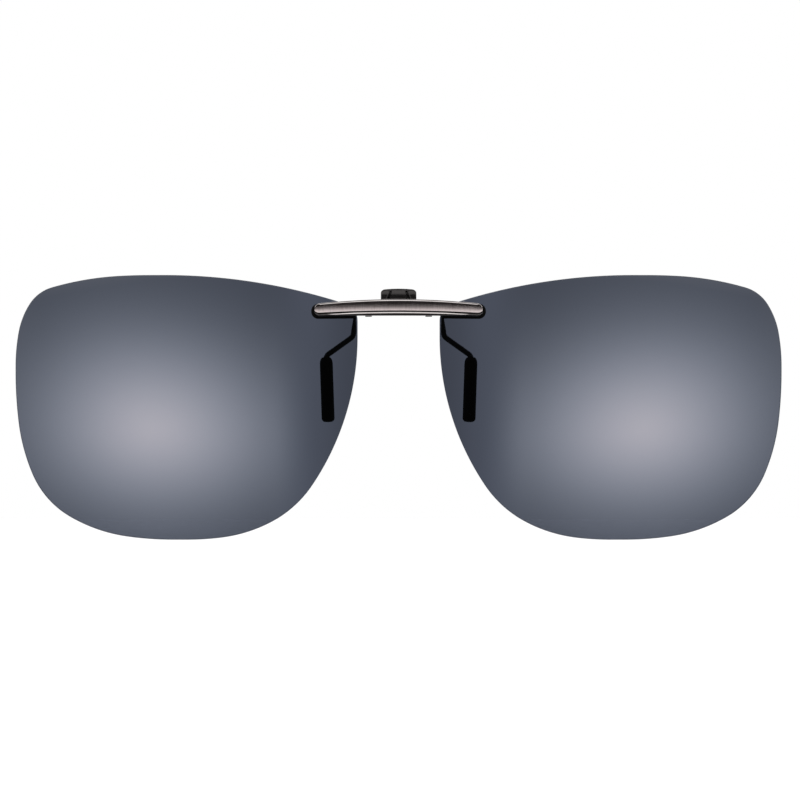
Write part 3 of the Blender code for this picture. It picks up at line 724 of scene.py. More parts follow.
def lens_edge_material(name):
    """The lens's polished edge, where the tint is seen through its full depth."""
    solid_share = 0.72
    made, g = material(name)
    lines = g.noise(scale=9.0, detail=3.0, rough=0.6, stretch=(0.3, 1.6, 0.3))
    colour = g.mix(lines, low=(0.012, 0.014, 0.020), high=(0.030, 0.034, 0.046))
    rough = g.remap(lines, source=(0.3, 0.7), target=(0.16, 0.30))
    normal = g.bump(lines, depth=0.004, strength=0.35)
    dense = g.principled(Base_Color=colour, Roughness=rough, Normal=normal, IOR=1.52)
    clear = g.add("BsdfTransparent", {"Color": (0.30, 0.32, 0.36, 1.0)}).outputs[0]
    g.output(g.add("MixShader", {0: solid_share, 1: clear, 2: dense}).outputs[0])
    return made


# the finishes of each slot
FINISHES = {
    "gunmetal": [gunmetal_material("gunmetal_brushed")],
    "steel": [steel_material(
        "turned_steel", light=(0.66, 0.66, 0.67), dark=(0.50, 0.50, 0.51),
        roughness=(0.20, 0.32), tarnish=0.25,
    )],
    "spring_steel": [steel_material(
        "drawn_spring_steel", light=(0.60, 0.60, 0.62), dark=(0.44, 0.44, 0.46),
        roughness=(0.22, 0.34), tarnish=0.15, stretch=(0.3, 1.0, 1.0),
    )],
    "black_metal": [black_metal_material("black_plated_metal")],
    "black_rubber": [black_soft_material(
        "black_rubber_skin", greys=(0.0012, 0.0024), roughness=(0.55, 0.74),
        grain=26.0, depth=0.006, dust=0.03, shine=0.12,
    )],
    "black_nylon": [black_soft_material(
        "black_nylon_moulded", greys=(0.004, 0.007), roughness=(0.42, 0.58),
        grain=34.0, depth=0.004, dust=0.05, shine=0.30,
    )],
    "grip_plastic": [black_soft_material(
        "grip_plastic_moulded", greys=(0.0032, 0.0054), roughness=(0.30, 0.42),
        grain=22.0, depth=0.006, dust=0.03, shine=0.54, tint=(1.0, 0.94, 0.92),
    )],
    "tinted_lens": [
        lens_material("smoke_polarised_lens"),
        lens_edge_material("smoke_lens_edge"),
    ],
}


# --------------------------------------------------------------- bridge bar
LIP = 0.50                # lower crest to the groove's lip
NOTCH = 0.25              # lower crest to the bottom of the line cut above it
BAR_EDGE_R = 0.09         # rounding of the face's very edge
BAR_REAR_R = 0.22         # rounding of the rear edges


def bar_top(x):
    return BAR_TOP_Z - x * x / (2 * BAR_TOP_R)


def bar_foot(x):
    return BAR_FOOT_Z - x * x / (2 * BAR_FOOT_R)


# centres of the rounds at the bar's ends
END_ROUND_HIGH = bar_top(BAR_REACH) - BAR_END_R
END_ROUND_LOW = bar_foot(BAR_REACH) + BAR_END_R


def bar_edges(x):
    """Top and foot of the bar at x, rounding off at its ends."""
    x = abs(x)
    if x <= BAR_REACH:
        return bar_top(x), bar_foot(x)
    fall = math.sqrt(max(BAR_END_R**2 - (x - BAR_REACH) ** 2, 0.0))
    return END_ROUND_HIGH + fall, END_ROUND_LOW - fall


def bar_edge_distance(x, z):
    """How far inside the bar's outline a point of its face is."""
    x = abs(x)
    if x <= BAR_REACH:
        return min(bar_top(x) - z, z - bar_foot(x), BAR_HALF - x)
    if END_ROUND_LOW <= z <= END_ROUND_HIGH:
        return BAR_HALF - x
    near = END_ROUND_HIGH if z > END_ROUND_HIGH else END_ROUND_LOW
    return BAR_END_R - math.hypot(x - BAR_REACH, z - near)


def low_rim(x):
    """Height of the lower rim's crest above the foot."""
    return 0.41 - 0.31 * min(abs(x) / 14.2, 1.0) ** 2


def top_rim(x):
    """Depth of the upper rim's crest below the top."""
    return 0.36 - 0.08 * min(abs(x) / 14.9, 1.0) ** 2


def bar_lines(x):
    """Top edge, upper crest, groove's lip, lower crest, foot and squeeze at x.

    squeeze shrinks the relief where the ends round off."""
    top, foot = bar_edges(x)
    squeeze = min(1.0, max(top - foot, 1e-6) / (bar_top(BAR_REACH) - bar_foot(BAR_REACH)))
    crest_low = foot + low_rim(x) * squeeze
    crest_top = top - top_rim(x) * squeeze
    return top, crest_top, crest_low + LIP * squeeze, crest_low, foot, squeeze


def rim_depth(x, z, top, foot, squeeze):
    """Each rim leans back to the outline from its crest, then rolls over the edge."""
    if z > (top + foot) / 2:
        flank, fall, power = top_rim(x), 0.22, 2.0
    else:
        flank, fall, power = low_rim(x), 0.26, 1.78
    end_flank, end_fall, least_flank = 0.10, 0.04, 0.02
    end_share = float(smoothstep(BAR_REACH - 0.1, BAR_REACH + 0.5, abs(x)))
    flank = max(flank * squeeze * (1 - end_share) + end_flank * end_share, least_flank)
    fall = fall * (1 - end_share) + end_fall * end_share
    edge = bar_edge_distance(x, z)
    lean = fall * (1 - max(edge, 0.0) / flank) ** power if edge < flank else 0.0
    return lean + roll_off(edge, BAR_EDGE_R)


def groove(x, share):
    """(depth, satin) of the groove: a short drop below the upper crest, then a long hollow.

    share runs from 0 at the crest to 1 at the lip."""
    along = min(abs(x) / 13.0, 1.0) ** 1.5
    floor = 0.34 - 0.18 * along
    deep = 0.18 + 0.03 * along
    if share < floor:
        hollow = 1 - (1 - share / floor) ** 2
    else:
        hollow = 1 - ((share - floor) / (1 - floor)) ** 2
    return deep * hollow, float(smoothstep(0.0, 0.04, min(share, 1 - share)))


def line_cut(x, rise, long, squeeze):
    """Depth of the line between the groove's lip and the lower rim, shallower outwards."""
    shallow = float(smoothstep(7.0, 11.0, abs(x)))
    fade = 1 - 0.65 * float(smoothstep(10.5, 12.8, abs(x)))
    bottom = (NOTCH - 0.08 * shallow) * squeeze
    deep = (0.105 - 0.045 * shallow) * fade * squeeze
    if rise < bottom:
        return deep * (rise / bottom) ** 2
    return deep * (1 - ((rise - bottom) / (long - bottom)) ** 1.5)


def bar_face(x, z):
    """(depth behind the bar's foremost plane, satin share) of the front face at x, z."""
    top, crest_top, lip, crest_low, foot, squeeze = bar_lines(x)
    depth = rim_depth(x, z, top, foot, squeeze)
    satin = 0.0
    if lip < z < crest_top:
        hollow, satin = groove(x, (crest_top - z) / (crest_top - lip))
        depth += hollow * squeeze
    elif crest_low < z <= lip:
        depth += line_cut(x, z - crest_low, lip - crest_low, squeeze)
    return depth, satin


def build_bar():
    quarter = math.pi / 2
    loops, satin = [], []
    for x in loft_stations(BAR_HALF, end_long=1.4, end_count=34, middle_count=190):
        top, crest_top, lip, crest_low, foot, _ = bar_lines(x)
        rows = [top - (top - crest_top) * (1 - math.cos(t)) for t in np.linspace(0, quarter, 15)]
        rows += list(np.linspace(crest_top, lip, 46)[1:])
        rows += list(np.linspace(lip, crest_low, 25)[1:])
        rows += [
            crest_low - (crest_low - foot) * math.sin(t) for t in np.linspace(0, quarter, 18)[1:]
        ]
        face = [bar_face(x, z) for z in rows]
        loop = [(x, BAR_FACE_Y + depth, z) for z, (depth, _) in zip(rows, face)]
        end_in = float(smoothstep(BAR_HALF - BAR_REAR_R, BAR_HALF, abs(x))) * BAR_REAR_R
        soft = min(BAR_REAR_R, (top - foot) * 0.45)
        close_section(loop, x, BAR_BACK_Y - end_in, foot, top, soft, soft, (5, 6, 7, 6, 5))
        loops.append(loop)
        satin += [share for _, share in face] + [0.0] * (len(loop) - len(face))
    satin += [0.0, 0.0]  # the middles of the end fans
    bar = lofted("bridge_bar_metal", loops)
    held = bar.data.attributes.new("satin", "FLOAT", "POINT")
    held.data.foreach_set("value", np.array(satin, np.float32))
    finish(bar, "front", "bridge_bar", "gunmetal", 62.0)


# ------------------------------------------------------------------- lenses
def lens_depth(side, radius):
    """Depth of a lens surface of this radius."""
    def depth(spots):
        dx, dz = side * spots[:, 0] - SPHERE_X, spots[:, 1] - LENS_CENTRE_Z
        return SPHERE_Y - np.sqrt(radius**2 - dx * dx - dz * dz)
    return depth


def corner_arcs(at, heading, arcs):
    """Points along a run of tangent arcs that turns clockwise."""
    longest_step = 0.3
    points = []
    for radius, end in arcs:
        turn = math.radians(heading - end)
        steps = max(2, math.ceil(radius * turn / longest_step))
        chord = 2 * radius * math.sin(turn / steps / 2)
        for i in range(steps):
            way = math.radians(heading) - turn * (i + 0.5) / steps
            at = (at[0] + chord * math.cos(way), at[1] + chord * math.sin(way))
            points.append(at)
        heading = end
    return points


def lens_outline(side):
    """Lens outline in its box: straight sides take up what the corners leave."""
    half = LENS_CENTRE_Z
    ends = [corner_arcs((0.0, 0.0), -90 * i, arcs)[-1] for i, arcs in enumerate(LENS_CORNERS)]
    starts = (
        (LENS_TEMPLE_X - ends[0][0], half),
        (LENS_TEMPLE_X, -half - ends[1][1]),
        (LENS_NOSE_X - ends[2][0], -half),
        (LENS_NOSE_X, half - ends[3][1]),
    )
    points = []
    for i, start in enumerate(starts):
        points += [start] + corner_arcs(start, -90 * i, LENS_CORNERS[i])
    outline = np.array(points)
    outline[:, 0] *= side
    outline[:, 1] += LENS_CENTRE_Z
    return resampled(outline, 0.42)


THROUGH_HOLE = ((SCREW_HOLE_R, "low", 0.0), (SCREW_HOLE_R, "high", 0.0))


def screw_holes(side, profile):
    return [(side * x, SCREW_Z, profile) for x in SCREW_X]


def build_lens(side, hand):
    edge_round, edge_steps = 0.13, 5
    outline = lens_outline(side)
    points, faces, normals = prism(
        outline, lens_depth(side, LENS_R), lens_depth(side, LENS_BACK_R), edge_round, edge_round,
        screw_holes(side, THROUGH_HOLE), pitch=1.5, steps=edge_steps,
    )
    mesh = mesh_of(f"{hand}_lens_sheet", points, faces)
    # faces with every corner on the rings round the outline are marked as edge
    rim_points = 2 * (edge_steps + 1) * len(outline)
    for face in mesh.polygons:
        face.material_index = 1 if (np.array(face.vertices) < rim_points).all() else 0
    mesh.shade_smooth()
    mesh.normals_split_custom_set_from_vertices(normals.tolist())
    finish(loose(f"{hand}_lens_sheet", mesh), "front", f"{hand}_lens", "tinted_lens", None)


# ------------------------------------------- gaskets and pads behind the bar
def liner_outline(from_x, side):
    """The bar's outline outwards of from_x, grown past its end and foot."""
    past_end, below, above = 0.58, 0.46, -0.05
    near_r, far_r = 0.4, BAR_END_R + 0.25
    reach = BAR_HALF + past_end - far_r
    near_x = from_x + near_r
    across = [near_x + (reach - from_x - near_r) * i / 16.0 for i in range(16)]
    outline = [(x, bar_top(x) + above) for x in across]
    outline += arc((reach, bar_top(reach) + above - far_r), far_r, 90, 0, 14)
    outline += arc((reach, bar_foot(reach) - below + far_r), far_r, 0, -90, 14)
    outline += [(x, bar_foot(x) - below) for x in reversed(across)]
    outline += arc((near_x, bar_foot(from_x) - below + near_r), near_r, 262, 180, 6)
    outline += arc((near_x, bar_top(from_x) + above - near_r), near_r, 180, 98, 6)
    return resampled(np.array([(side * x, z) for x, z in outline]), 0.16)


def build_gasket(side, hand):
    """Rubber between the bar and the lens."""
    front_of = lens_depth(side, LENS_R)
    points, faces, _ = prism(
        liner_outline(7.7, side), level(BAR_BACK_Y + 0.02), lambda spots: front_of(spots) - 0.03,
        0.12, 0.05, screw_holes(side, THROUGH_HOLE), pitch=0.5,
    )
    gasket = solid(f"{hand}_gasket_rubber", points, faces)
    finish(gasket, "front", f"{hand}_gasket", "black_rubber")


def build_rear_pad(side, hand):
    """Nylon behind the lens, with a stepped hole for each screw head."""
    back_of = lens_depth(side, LENS_BACK_R)
    head_r, head_deep = 0.94, 0.78
    stepped = (
        (SCREW_HOLE_R, "low", 0.0), (SCREW_HOLE_R, "high", head_deep), (head_r, "high", head_deep),
        (head_r, "high", 0.05), (0.955, "high", 0.015), (0.98, "high", 0.0),
    )
    points, faces, _ = prism(
        liner_outline(8.9, side), lambda spots: back_of(spots) + 0.04, level(PAD_REAR_Y),
        0.05, 0.15, screw_holes(side, stepped), pitch=0.5, steps=6,
    )
    pad = solid(f"{hand}_rear_pad_nylon", points, faces)
    finish(pad, "front", f"{hand}_rear_pad", "black_nylon")


# ------------------------------------------------------------- lens screws
def build_screw(side, hand, place, x, slot_turn):
    """A slotted screw with its head to the rear."""
    seat_y = PAD_REAR_Y - 0.76
    long = seat_y - (BAR_BACK_Y - 1.24)
    shank_r = 0.55
    profile = [(0.0, 0.64), (0.30, 0.63), (0.52, 0.605)]
    profile += arc((0.68, 0.42), 0.18, 78, 0, 7) + [(0.86, 0.03), (0.83, 0.0), (shank_r, 0.0)]
    profile += [(shank_r, 0.15 - long), (0.40, -long), (0.0, -long)]
    seat = Matrix.Translation((side * x, seat_y, SCREW_Z))
    head_to_rear = Matrix.Rotation(math.radians(-90.0), 4, "X")
    screw = lathe(f"{hand}_{place}_lens_screw_head", profile, 56, seat @ head_to_rear)
    turned = seat @ Matrix.Rotation(math.radians(slot_turn * side), 4, "Y")
    slot = box("slot", (-1.3, 0.37, -0.13), (1.3, 1.2, 0.13), turned)
    screw = combined(screw, [slot])
    finish(screw, "front", f"{hand}_{place}_lens_screw", "steel", 32.0)


# ------------------------------------------------------------------- hinge
HINGE_AXIS = (
    Matrix.Translation((0.0, HINGE_Y, HINGE_Z)) @ Matrix.Rotation(math.radians(90), 4, "Y")
)


def ear_outline(radius, root_y):
    """(y, z) outline from a root back round the hinge axis."""
    flat = 0.9992  # height of the straight sides, as a share of the radius
    limit = math.asin(flat)
    return (
        [(root_y, HINGE_Z - radius * flat)]
        + [(HINGE_Y + radius * math.cos(t), HINGE_Z + radius * math.sin(t))
           for t in np.linspace(-limit, limit, 41)]
        + [(root_y, HINGE_Z + radius * flat)]
    )


def knuckle_outline(radius, web_y, half):
    """(y, z) outline round the hinge axis with a web back to web_y."""
    steps = 72
    start = math.asin(half / radius)
    turns = [start + (2 * math.pi - 2 * start) * i / steps for i in range(steps + 1)]
    return [(HINGE_Y + radius * math.cos(t), HINGE_Z + radius * math.sin(t)) for t in turns] + [
        (web_y, HINGE_Z - half), (web_y, HINGE_Z + half)
    ]


def bore(name, radius):
    half = 8.0
    profile = [(0.0, half), (radius, half), (radius, -half), (0.0, -half)]
    return lathe(name, profile, 64, HINGE_AXIS)


def build_bracket():
    """Plate on the back of the bar with an ear at each end."""
    x_half, foot, top, radius = 5.7, 39.98, 42.0, 0.22
    outline = []
    for x, z, start in (
        (x_half - radius, top - radius, 90), (x_half - radius, foot + radius, 0),
        (radius - x_half, foot + radius, -90), (radius - x_half, top - radius, -180),
    ):
        outline += arc((x, z), radius, start, start - 90, 6)
    bracket = slab("hinge_bracket_metal", outline, BAR_BACK_Y + 0.03, BAR_BACK_Y + 0.53)
    ear = ear_outline(1.36, BAR_BACK_Y + 0.06)
    ears = [cheek(f"ear{side}", ear, side * 4.75, side * 5.9) for side in (1, -1)]
    bracket = combined(bracket, ears, "UNION")
    bracket = combined(bracket, [bore("ear_hole", 0.53)])
    bracket = bevelled(bracket, 0.07)
    finish(bracket, "front", "hinge_bracket", "black_metal", 40.0)


def build_pin():
    half, head_r, shank_r = 6.25, 0.80, 0.48
    profile = [(0.0, half), (0.35, half - 0.01)] + arc((0.60, half - 0.17), (0.20, 0.15), 80, 0, 6)
    profile += [(head_r, half - 0.27), (head_r - 0.03, half - 0.30), (shank_r, half - 0.30)]
    profile += [(radius, -height) for radius, height in reversed(profile)]
    pin = lathe("hinge_pin_metal", profile, 56, HINGE_AXIS)
    finish(pin, "front", "hinge_pin", "steel", 40.0)


def build_spring():
    """Torsion spring: both legs stand up, one on the bracket and one on the plate."""
    coil_r, wire_r, turns, spread = 0.95, 0.16, 8, 2.5
    start, end = math.pi, 2 * math.pi * turns
    coil = [
        (
            -spread + 2 * spread * share,
            HINGE_Y + coil_r * math.cos(start + (end - start) * share),
            HINGE_Z + coil_r * math.sin(start + (end - start) * share),
        )
        for share in np.linspace(0, 1, 361)
    ]
    # (y, z) of the legs, in the order the wire runs
    fixed = ((BAR_BACK_Y + 0.72, 41.9), (BAR_BACK_Y + 0.74, 41.5), (BAR_BACK_Y + 0.83, 41.15))
    moving = ((PLATE_Y - 0.27, 41.15), (PLATE_Y - 0.20, 41.5), (PLATE_Y - 0.19, 41.9))
    path = [(-spread, y, z) for y, z in fixed] + coil + [(spread, y, z) for y, z in moving]
    spring = sweep("clip_spring_coil", np.array(path), [(wire_r, wire_r)] * len(path), 16)
    spring.data.shade_smooth()
    finish(spring, None, "clip_spring", "spring_steel", None)
    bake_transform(spring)


# -------------------------------------------------------------- clip plate
def plate_outline():
    """A wide plate with a tab standing up from its middle."""
    half, foot, top = 4.62, 39.97, 42.1
    right = arc((TAB_HALF - 0.35, TAB_TOP - 0.35), 0.35, 90, 0, 6)
    right += arc((TAB_HALF + 0.25, top + 0.25), 0.25, 180, 270, 5)
    right += arc((half - 0.35, top - 0.35), 0.35, 90, 0, 6)
    right += arc((half - 0.40, foot + 0.40), 0.40, 0, -90, 6)
    return right + [(-x, z) for x, z in reversed(right)]


def build_plate():
    plate = slab("clip_plate_metal", plate_outline(), PLATE_Y, PLATE_BACK_Y)
    knuckle = knuckle_outline(0.95, PLATE_Y + 0.2, 0.55)
    knuckles = [cheek(f"knuckle{side}", knuckle, side * 3.0, side * 4.52) for side in (1, -1)]
    plate = combined(plate, knuckles, "UNION")
    plate = combined(plate, [bore("knuckle_bore", 0.56)])
    plate = bevelled(plate, 0.06)
    finish(plate, "clip", "clip_plate", "black_metal", 40.0)


# -------------------------------------------------------------- thumb grip
GRIP_HALF, GRIP_FOOT, GRIP_TOP = 3.15, 42.20, 44.48
GRIP_CORNER = 0.75
GRIP_SIDE_R, GRIP_TOP_R, GRIP_FOOT_R = 0.26, 0.30, 0.12


def grip_top(x):
    over = max(abs(x) - (GRIP_HALF - GRIP_CORNER), 0.0)
    corner_fall = 0.55 * (1 - math.sqrt(max(1 - (over / GRIP_CORNER) ** 2, 0.0)))
    return GRIP_TOP - 0.20 * (x / GRIP_HALF) ** 2 - corner_fall


def grip_front(x, z):
    """Depth of the grip's front: upright below, leaning back towards its crown.

    A slanted groove on each side has a raised lip along its outer edge."""
    lean_from, groove_half, groove_deep = 43.35, 0.20, 0.34
    lip_out, lip_half, lip_high = 0.11, 0.09, 0.075
    depth = 0.36 * max(0.0, z - lean_from) ** 1.5
    depth += 0.10 * (abs(x) / GRIP_HALF) ** 3
    middle = 1.40 + 0.34 * max(0.0, 43.85 - z)
    fade = float(smoothstep(44.12, 43.92, z))
    away = abs(abs(x) - middle)
    depth += groove_deep * fade * max(0.0, 1 - (away / groove_half) ** 2) ** 0.7
    lip = math.exp(-(((abs(x) - middle - groove_half - lip_out) / lip_half) ** 2))
    return depth - lip_high * fade * lip


def build_grip():
    quarter = math.pi / 2
    loops = []
    for x in loft_stations(GRIP_HALF, end_long=0.55, end_count=14, middle_count=150):
        top = grip_top(x)
        side_in = roll_off(GRIP_HALF - abs(x), GRIP_SIDE_R)
        rows = [top - GRIP_TOP_R * (1 - math.cos(t)) for t in np.linspace(0, quarter, 9)]
        rows += list(np.linspace(top - GRIP_TOP_R, GRIP_FOOT + GRIP_FOOT_R, 52)[1:])
        rows += [
            GRIP_FOOT + GRIP_FOOT_R * (1 - math.sin(t)) for t in np.linspace(0, quarter, 5)[1:]
        ]
        loop = []
        for z in rows:
            depth = grip_front(x, z) + side_in
            depth += roll_off(top - z, GRIP_TOP_R) + roll_off(z - GRIP_FOOT, GRIP_FOOT_R)
            loop.append((x, GRIP_FRONT + depth, z))
        close_section(loop, x, GRIP_BACK - side_in, GRIP_FOOT, top, 0.2, 0.3, (5, 6, 8, 7, 4))
        loops.append(loop)
    gap = 0.03  # round the plate's tab
    pocket_low = (-TAB_HALF - gap, PLATE_Y - gap, 41.0)
    pocket_high = (TAB_HALF + gap, PLATE_BACK_Y + gap, TAB_TOP + gap)
    grip = lofted("thumb_grip_cap", loops)
    grip = combined(grip, [box("pocket", pocket_low, pocket_high)])
    finish(grip, "clip", "thumb_grip", "grip_plastic", 48.0)


# ---------------------------------------------------- clip wires and sleeves
WIRE_R = 0.46
WIRE_Y = PLATE_BACK_Y + WIRE_R + 0.02
# (x, y, z, corner radius) from behind the plate, out and down to the tip
WIRE_PATH = (
    (2.6, WIRE_Y, 40.42, 0.0),
    (7.70, WIRE_Y, 40.42, 0.8),
    (8.02, BAR_BACK_Y + 6.1, 36.03, 1.1),
    (12.86, BAR_BACK_Y + 5.1, 32.57, 1.1),
    (12.50, BAR_BACK_Y + 3.75, 21.8, 0.0),
)
SLEEVE_TOP_Z, SLEEVE_LONG = 32.3, 11.5


def wire_half(x, z):
    """(across, through) half widths: slim at the first bend, with a bead behind the plate."""
    slim, x = 0.25, abs(x)
    width, bead = WIRE_R, 0.0
    if z < 40.0:
        width = slim + (WIRE_R + 0.02 - slim) * float(smoothstep(39.4, 36.6, z))
    elif x > 6.9:
        width = slim + (WIRE_R - slim) * float(smoothstep(7.3, 6.9, x))
    if z > 40.0:
        bead = float(smoothstep(2.75, 3.1, x) * smoothstep(4.5, 4.15, x))
    return width + 0.22 * bead, WIRE_R + 0.02 * bead


def build_wire(hand, corners):
    path = evenly(round_corners(corners), 0.16)
    half = [wire_half(x, z) for x, _, z in path]
    arm = sweep(f"{hand}_clip_wire_arm", path, half, 32)
    arm.data.shade_smooth()
    finish(arm, "clip", f"{hand}_clip_wire", "black_metal", None)


def build_sleeve(hand, corners):
    """Rubber sleeve over the wire's last straight, turned about the wire."""
    bend, tip = Vector(corners[3][:3]), Vector(corners[4][:3])
    run = (tip - bend).normalized()
    top = bend + run * ((bend.z - SLEEVE_TOP_Z) / -run.z)
    bore_end = (tip - top).length + 0.3
    profile = [(0.0, -bore_end), (0.40, -bore_end), (0.50, -bore_end + 0.12)]
    profile += [(0.50, -0.06), (0.54, 0.0), (0.60, 0.0)]
    profile += arc((0.60, -1.25), (0.55, 1.25), 90, 0, 16)[1:]
    profile += [(1.15, -3.0), (1.15, -6.0), (1.15, -9.0)]
    profile += arc((0.55, 0.66 - SLEEVE_LONG), (0.60, 0.66), 0, -84, 12)
    profile += [(0.0, -SLEEVE_LONG)]
    up_the_wire = (-run).to_track_quat("Z", "Y").to_matrix().to_4x4()
    where = Matrix.Translation(top) @ up_the_wire
    sleeve = lathe(f"{hand}_sleeve_rubber", profile, 64, where)
    finish(sleeve, "clip", f"{hand}_sleeve", "black_rubber", 50.0)


# ------------------------------------------------------------ camera and light
def build_camera():
    distance, half_view, sensor = 3.0, 0.0709, 36.0  # half_view is half the width in view
    camera = bpy.data.objects.new("camera", bpy.data.cameras.new("camera"))
    SCENE.collection.objects.link(camera)
    camera.data.sensor_width = sensor
    camera.data.lens = sensor / 2 * distance / half_view
    camera.data.clip_start = 0.05
    camera.data.clip_end = 60.0
    camera.location = (0.00025, -distance, 0.02475)
    camera.rotation_euler = (math.radians(90.0), 0.0, 0.0)
    SCENE.camera = camera
    SCENE.view_settings.view_transform = "Standard"
    return camera


def build_floor():
    bm = bmesh.new()
    bmesh.ops.create_circle(bm, cap_ends=True, segments=96, radius=9.0)
    mesh = bpy.data.meshes.new("floor")
    bm.to_mesh(mesh)
    bm.free()
    floor = loose("floor", mesh)
    floor.location = (0.0, 0.0, -0.060)
    made, g = material("pale_floor")
    grain = g.noise(scale=0.02, detail=2.0)
    colour = g.mix(grain, low=(0.80, 0.80, 0.80), high=(0.82, 0.82, 0.82))
    matt = g.principled(Base_Color=colour, Roughness=0.9)
    glow = g.add("Emission", {"Color": (1, 1, 1, 1), "Strength": 0.16}).outputs[0]
    g.output(g.add("AddShader", {0: matt, 1: glow}).outputs[0])
    mesh.materials.append(made)
    floor.visible_glossy = False


# (degrees, brightness) in mirrors: 0 is straight ahead of the front, 90 overhead, 180 behind
OVER_STOPS = (
    (-180, 0.34), (-130, 0.26), (-95, 0.05), (-60, 0.012), (4, 0.012), (14, 0.02), (21, 0.06),
    (28, 0.80), (34, 1.0), (62, 0.92), (72, 0.12), (82, 0.04), (118, 0.05), (130, 0.75),
    (152, 0.70), (168, 0.38), (180, 0.34),
)
# (share of the way from straight down to straight up, brightness) in mirrors, at the sides
SIDE_STOPS = (
    (0.0, 0.10), (0.36, 0.06), (0.49, 0.10), (0.54, 0.34),
    (0.60, 0.90), (0.76, 0.80), (0.84, 0.20), (1.0, 0.06),
)


def build_world():
    """White to the camera, even light for matt surfaces, soft boxes for shiny ones."""
    world = bpy.data.worlds.new("studio")
    SCENE.world = world
    world.use_nodes = True
    g = Graph(world.node_tree)
    way = g.add("SeparateXYZ", {0: g.add("TexCoord").outputs["Generated"]})
    x, y, z = way.outputs[0], way.outputs[1], way.outputs[2]
    pitch = g.math("ARCTAN2", z, g.times(y, by=-1.0))
    over = g.remap(pitch, source=(-math.pi, math.pi))
    front_back = g.ramp(over, [((turn + 180.0) / 360.0, grey) for turn, grey in OVER_STOPS])
    height = g.math("ARCSINE", z)
    sides = g.ramp(g.remap(height, source=(-math.pi / 2, math.pi / 2)), SIDE_STOPS)
    share = g.remap(g.math("ABSOLUTE", x), source=(0.62, 0.88), smooth=True)
    shiny = g.mix(share, low=front_back, high=sides)

    def background(colour, strength):
        return g.add("Background", {"Color": colour, "Strength": strength}).outputs[0]

    white = (1, 1, 1, 1)
    shiny_light = background(shiny, strength=1.7)
    even = background(white, strength=0.80)
    seen = background(white, strength=1.0)
    ray = g.add("LightPath").outputs
    light = g.add("MixShader", {0: ray["Is Glossy Ray"], 1: even, 2: shiny_light}).outputs[0]
    light = g.add("MixShader", {0: ray["Is Camera Ray"], 1: light, 2: seen}).outputs[0]
    g.add("OutputWorld", {0: light})


def build_key():
    """Soft sun from above and a little in front."""
    key = bpy.data.objects.new("key", bpy.data.lights.new("key", "SUN"))
    SCENE.collection.objects.link(key)
    key.data.energy = 1.15
    key.data.angle = math.radians(26.0)
    key.rotation_euler = (math.radians(24.0), math.radians(-9.0), 0.0)
    key.visible_glossy = False


# -------------------------------------------------------------- glow cards
GLOW_X, GLOW_Z = 44.0, 19.5          # place on the lens that mirrors the glow's middle
GLOW_AWAY = 600.0                    # lens to card
GLOW_HALF_X, GLOW_HALF_Z = 40.0, 34.0  # half the card, as mirrored on the lens
GLOW = (8.35, 8.05, 8.85)
GLOW_COOL = (0.93, 1.09, 1.21)       # times GLOW, where the glow is faint


def glow_material(hand):
    """An oval glow that fades out, over UVs in millimetres on the lens, outwards and up."""
    made, g = material(f"glow_{hand}")
    uv = g.add("SeparateXYZ", {0: g.add("UVMap", uv_map="oval").outputs[0]})
    u, v = uv.outputs[0], uv.outputs[1]
    leaning = g.math("SUBTRACT", u, g.times(v, by=0.12))
    # the oval's reach, from its inner half to its outer, then its lower to its upper
    reach_u = g.remap(leaning, source=(-0.5, 0.5), target=(19.5, 18.5))
    across = g.math("DIVIDE", leaning, reach_u)
    reach_v = g.remap(v, source=(-0.5, 0.5), target=(13.0, 15.0))
    upright = g.math("DIVIDE", v, reach_v)
    squares = g.math("ADD", g.times(across, by=across), g.times(upright, by=upright))
    radius = g.math("SQRT", squares)
    softness = 1.6
    fall = g.math("EXPONENT", g.times(g.math("POWER", radius, softness), by=-1.0))
    nose = g.remap(u, source=(-32.0, -22.0), smooth=True)
    strength = g.times(fall, by=nose)
    cool = tuple(c * k for c, k in zip(GLOW, GLOW_COOL))
    tone = g.mix(g.math("MINIMUM", strength, 1.0), low=cool, high=GLOW)
    glow = g.add("Emission", {"Color": tone, "Strength": strength}).outputs[0]
    clear = g.add("BsdfTransparent").outputs[0]
    g.output(g.add("AddShader", {0: glow, 1: clear}).outputs[0])
    return made


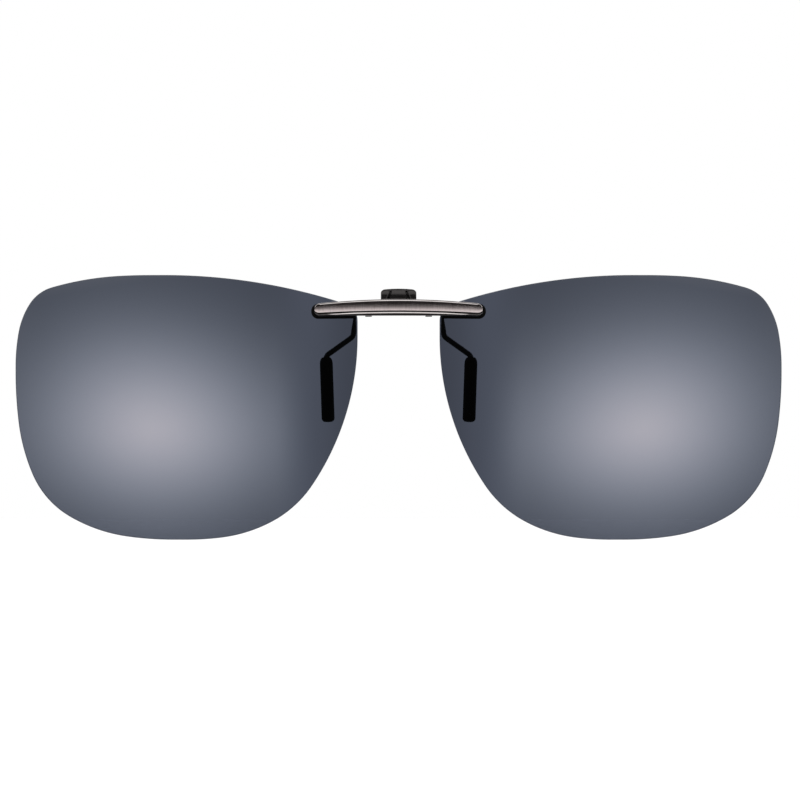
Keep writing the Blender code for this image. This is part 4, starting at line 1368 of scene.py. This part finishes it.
def build_glow_card(side, hand, camera):
    """A card that only its lens mirrors to the camera."""

    def mirrored(x, z):
        """A point of the lens's front, and the way its mirrored view from the camera goes."""
        dx, dz = x - SPHERE_X, z - LENS_CENTRE_Z
        dy = -math.sqrt(LENS_R**2 - dx * dx - dz * dz)
        normal = Vector((side * dx, dy, dz)) / LENS_R
        point = Vector((side * x, SPHERE_Y + dy, z))
        ray = (point - camera.location / MM).normalized()
        return point, ray - 2 * ray.dot(normal) * normal

    point, ray = mirrored(GLOW_X, GLOW_Z)
    middle = point + ray * GLOW_AWAY
    outwards = Vector((0, 0, 1)).cross(ray).normalized()
    if outwards.x * side < 0:
        outwards = -outwards
    up = ray.cross(outwards).normalized()
    if up.z < 0:
        up = -up

    def on_card(x, z):
        """Where the card is seen in the lens at x, z."""
        here, way = mirrored(x, z)
        hit = here + way * ((middle - here).dot(ray) / way.dot(ray)) - middle
        return hit.dot(outwards), hit.dot(up)

    step = 9
    right, left = on_card(GLOW_X + step, GLOW_Z), on_card(GLOW_X - step, GLOW_Z)
    above, below = on_card(GLOW_X, GLOW_Z + step), on_card(GLOW_X, GLOW_Z - step)
    wide = GLOW_HALF_X * ((right[0] - left[0]) / (2 * step))
    tall = GLOW_HALF_Z * ((above[1] - below[1]) / (2 * step))
    signs = ((-1, -1), (1, -1), (1, 1), (-1, 1))
    corners = [middle + outwards * a * wide + up * b * tall for a, b in signs]
    mesh = bpy.data.meshes.new(f"glow_card_{hand}")
    mesh.from_pydata([tuple(corner * MM) for corner in corners], [], [(0, 1, 2, 3)])
    card = loose(f"glow_card_{hand}", mesh)
    oval = mesh.uv_layers.new(name="oval")
    for loop, (a, b) in zip(mesh.loops, signs):
        oval.data[loop.index].uv = (a * GLOW_HALF_X, b * GLOW_HALF_Z)
    mesh.materials.append(glow_material(hand))
    card.visible_camera = False
    card.visible_diffuse = False
    card.visible_transmission = False
    card.visible_shadow = False
    card.visible_volume_scatter = False
    lit = bpy.data.collections.new(f"lit_by_{hand}")
    lit.objects.link(bpy.data.objects[f"{hand}_lens_sheet"])
    card.light_linking.receiver_collection = lit


# -------------------------------------------------------------------- build
build_bar()
for side, hand in SIDES:
    build_lens(side, hand)
for side, hand in SIDES:
    build_gasket(side, hand)
    build_rear_pad(side, hand)
for side, hand in SIDES:
    for x, place, slot_turn in zip(SCREW_X, ("inner", "outer"), (17.0, -34.0)):
        build_screw(side, hand, place, x, slot_turn)
build_bracket()
build_pin()
build_spring()
build_plate()
build_grip()
for side, hand in SIDES:
    corners = [(side * x, y, z, radius) for x, y, z, radius in WIRE_PATH]
    build_wire(hand, corners)
    build_sleeve(hand, corners)

camera = build_camera()
build_floor()
build_world()
build_key()
for side, hand in SIDES:
    build_glow_card(side, hand, camera)
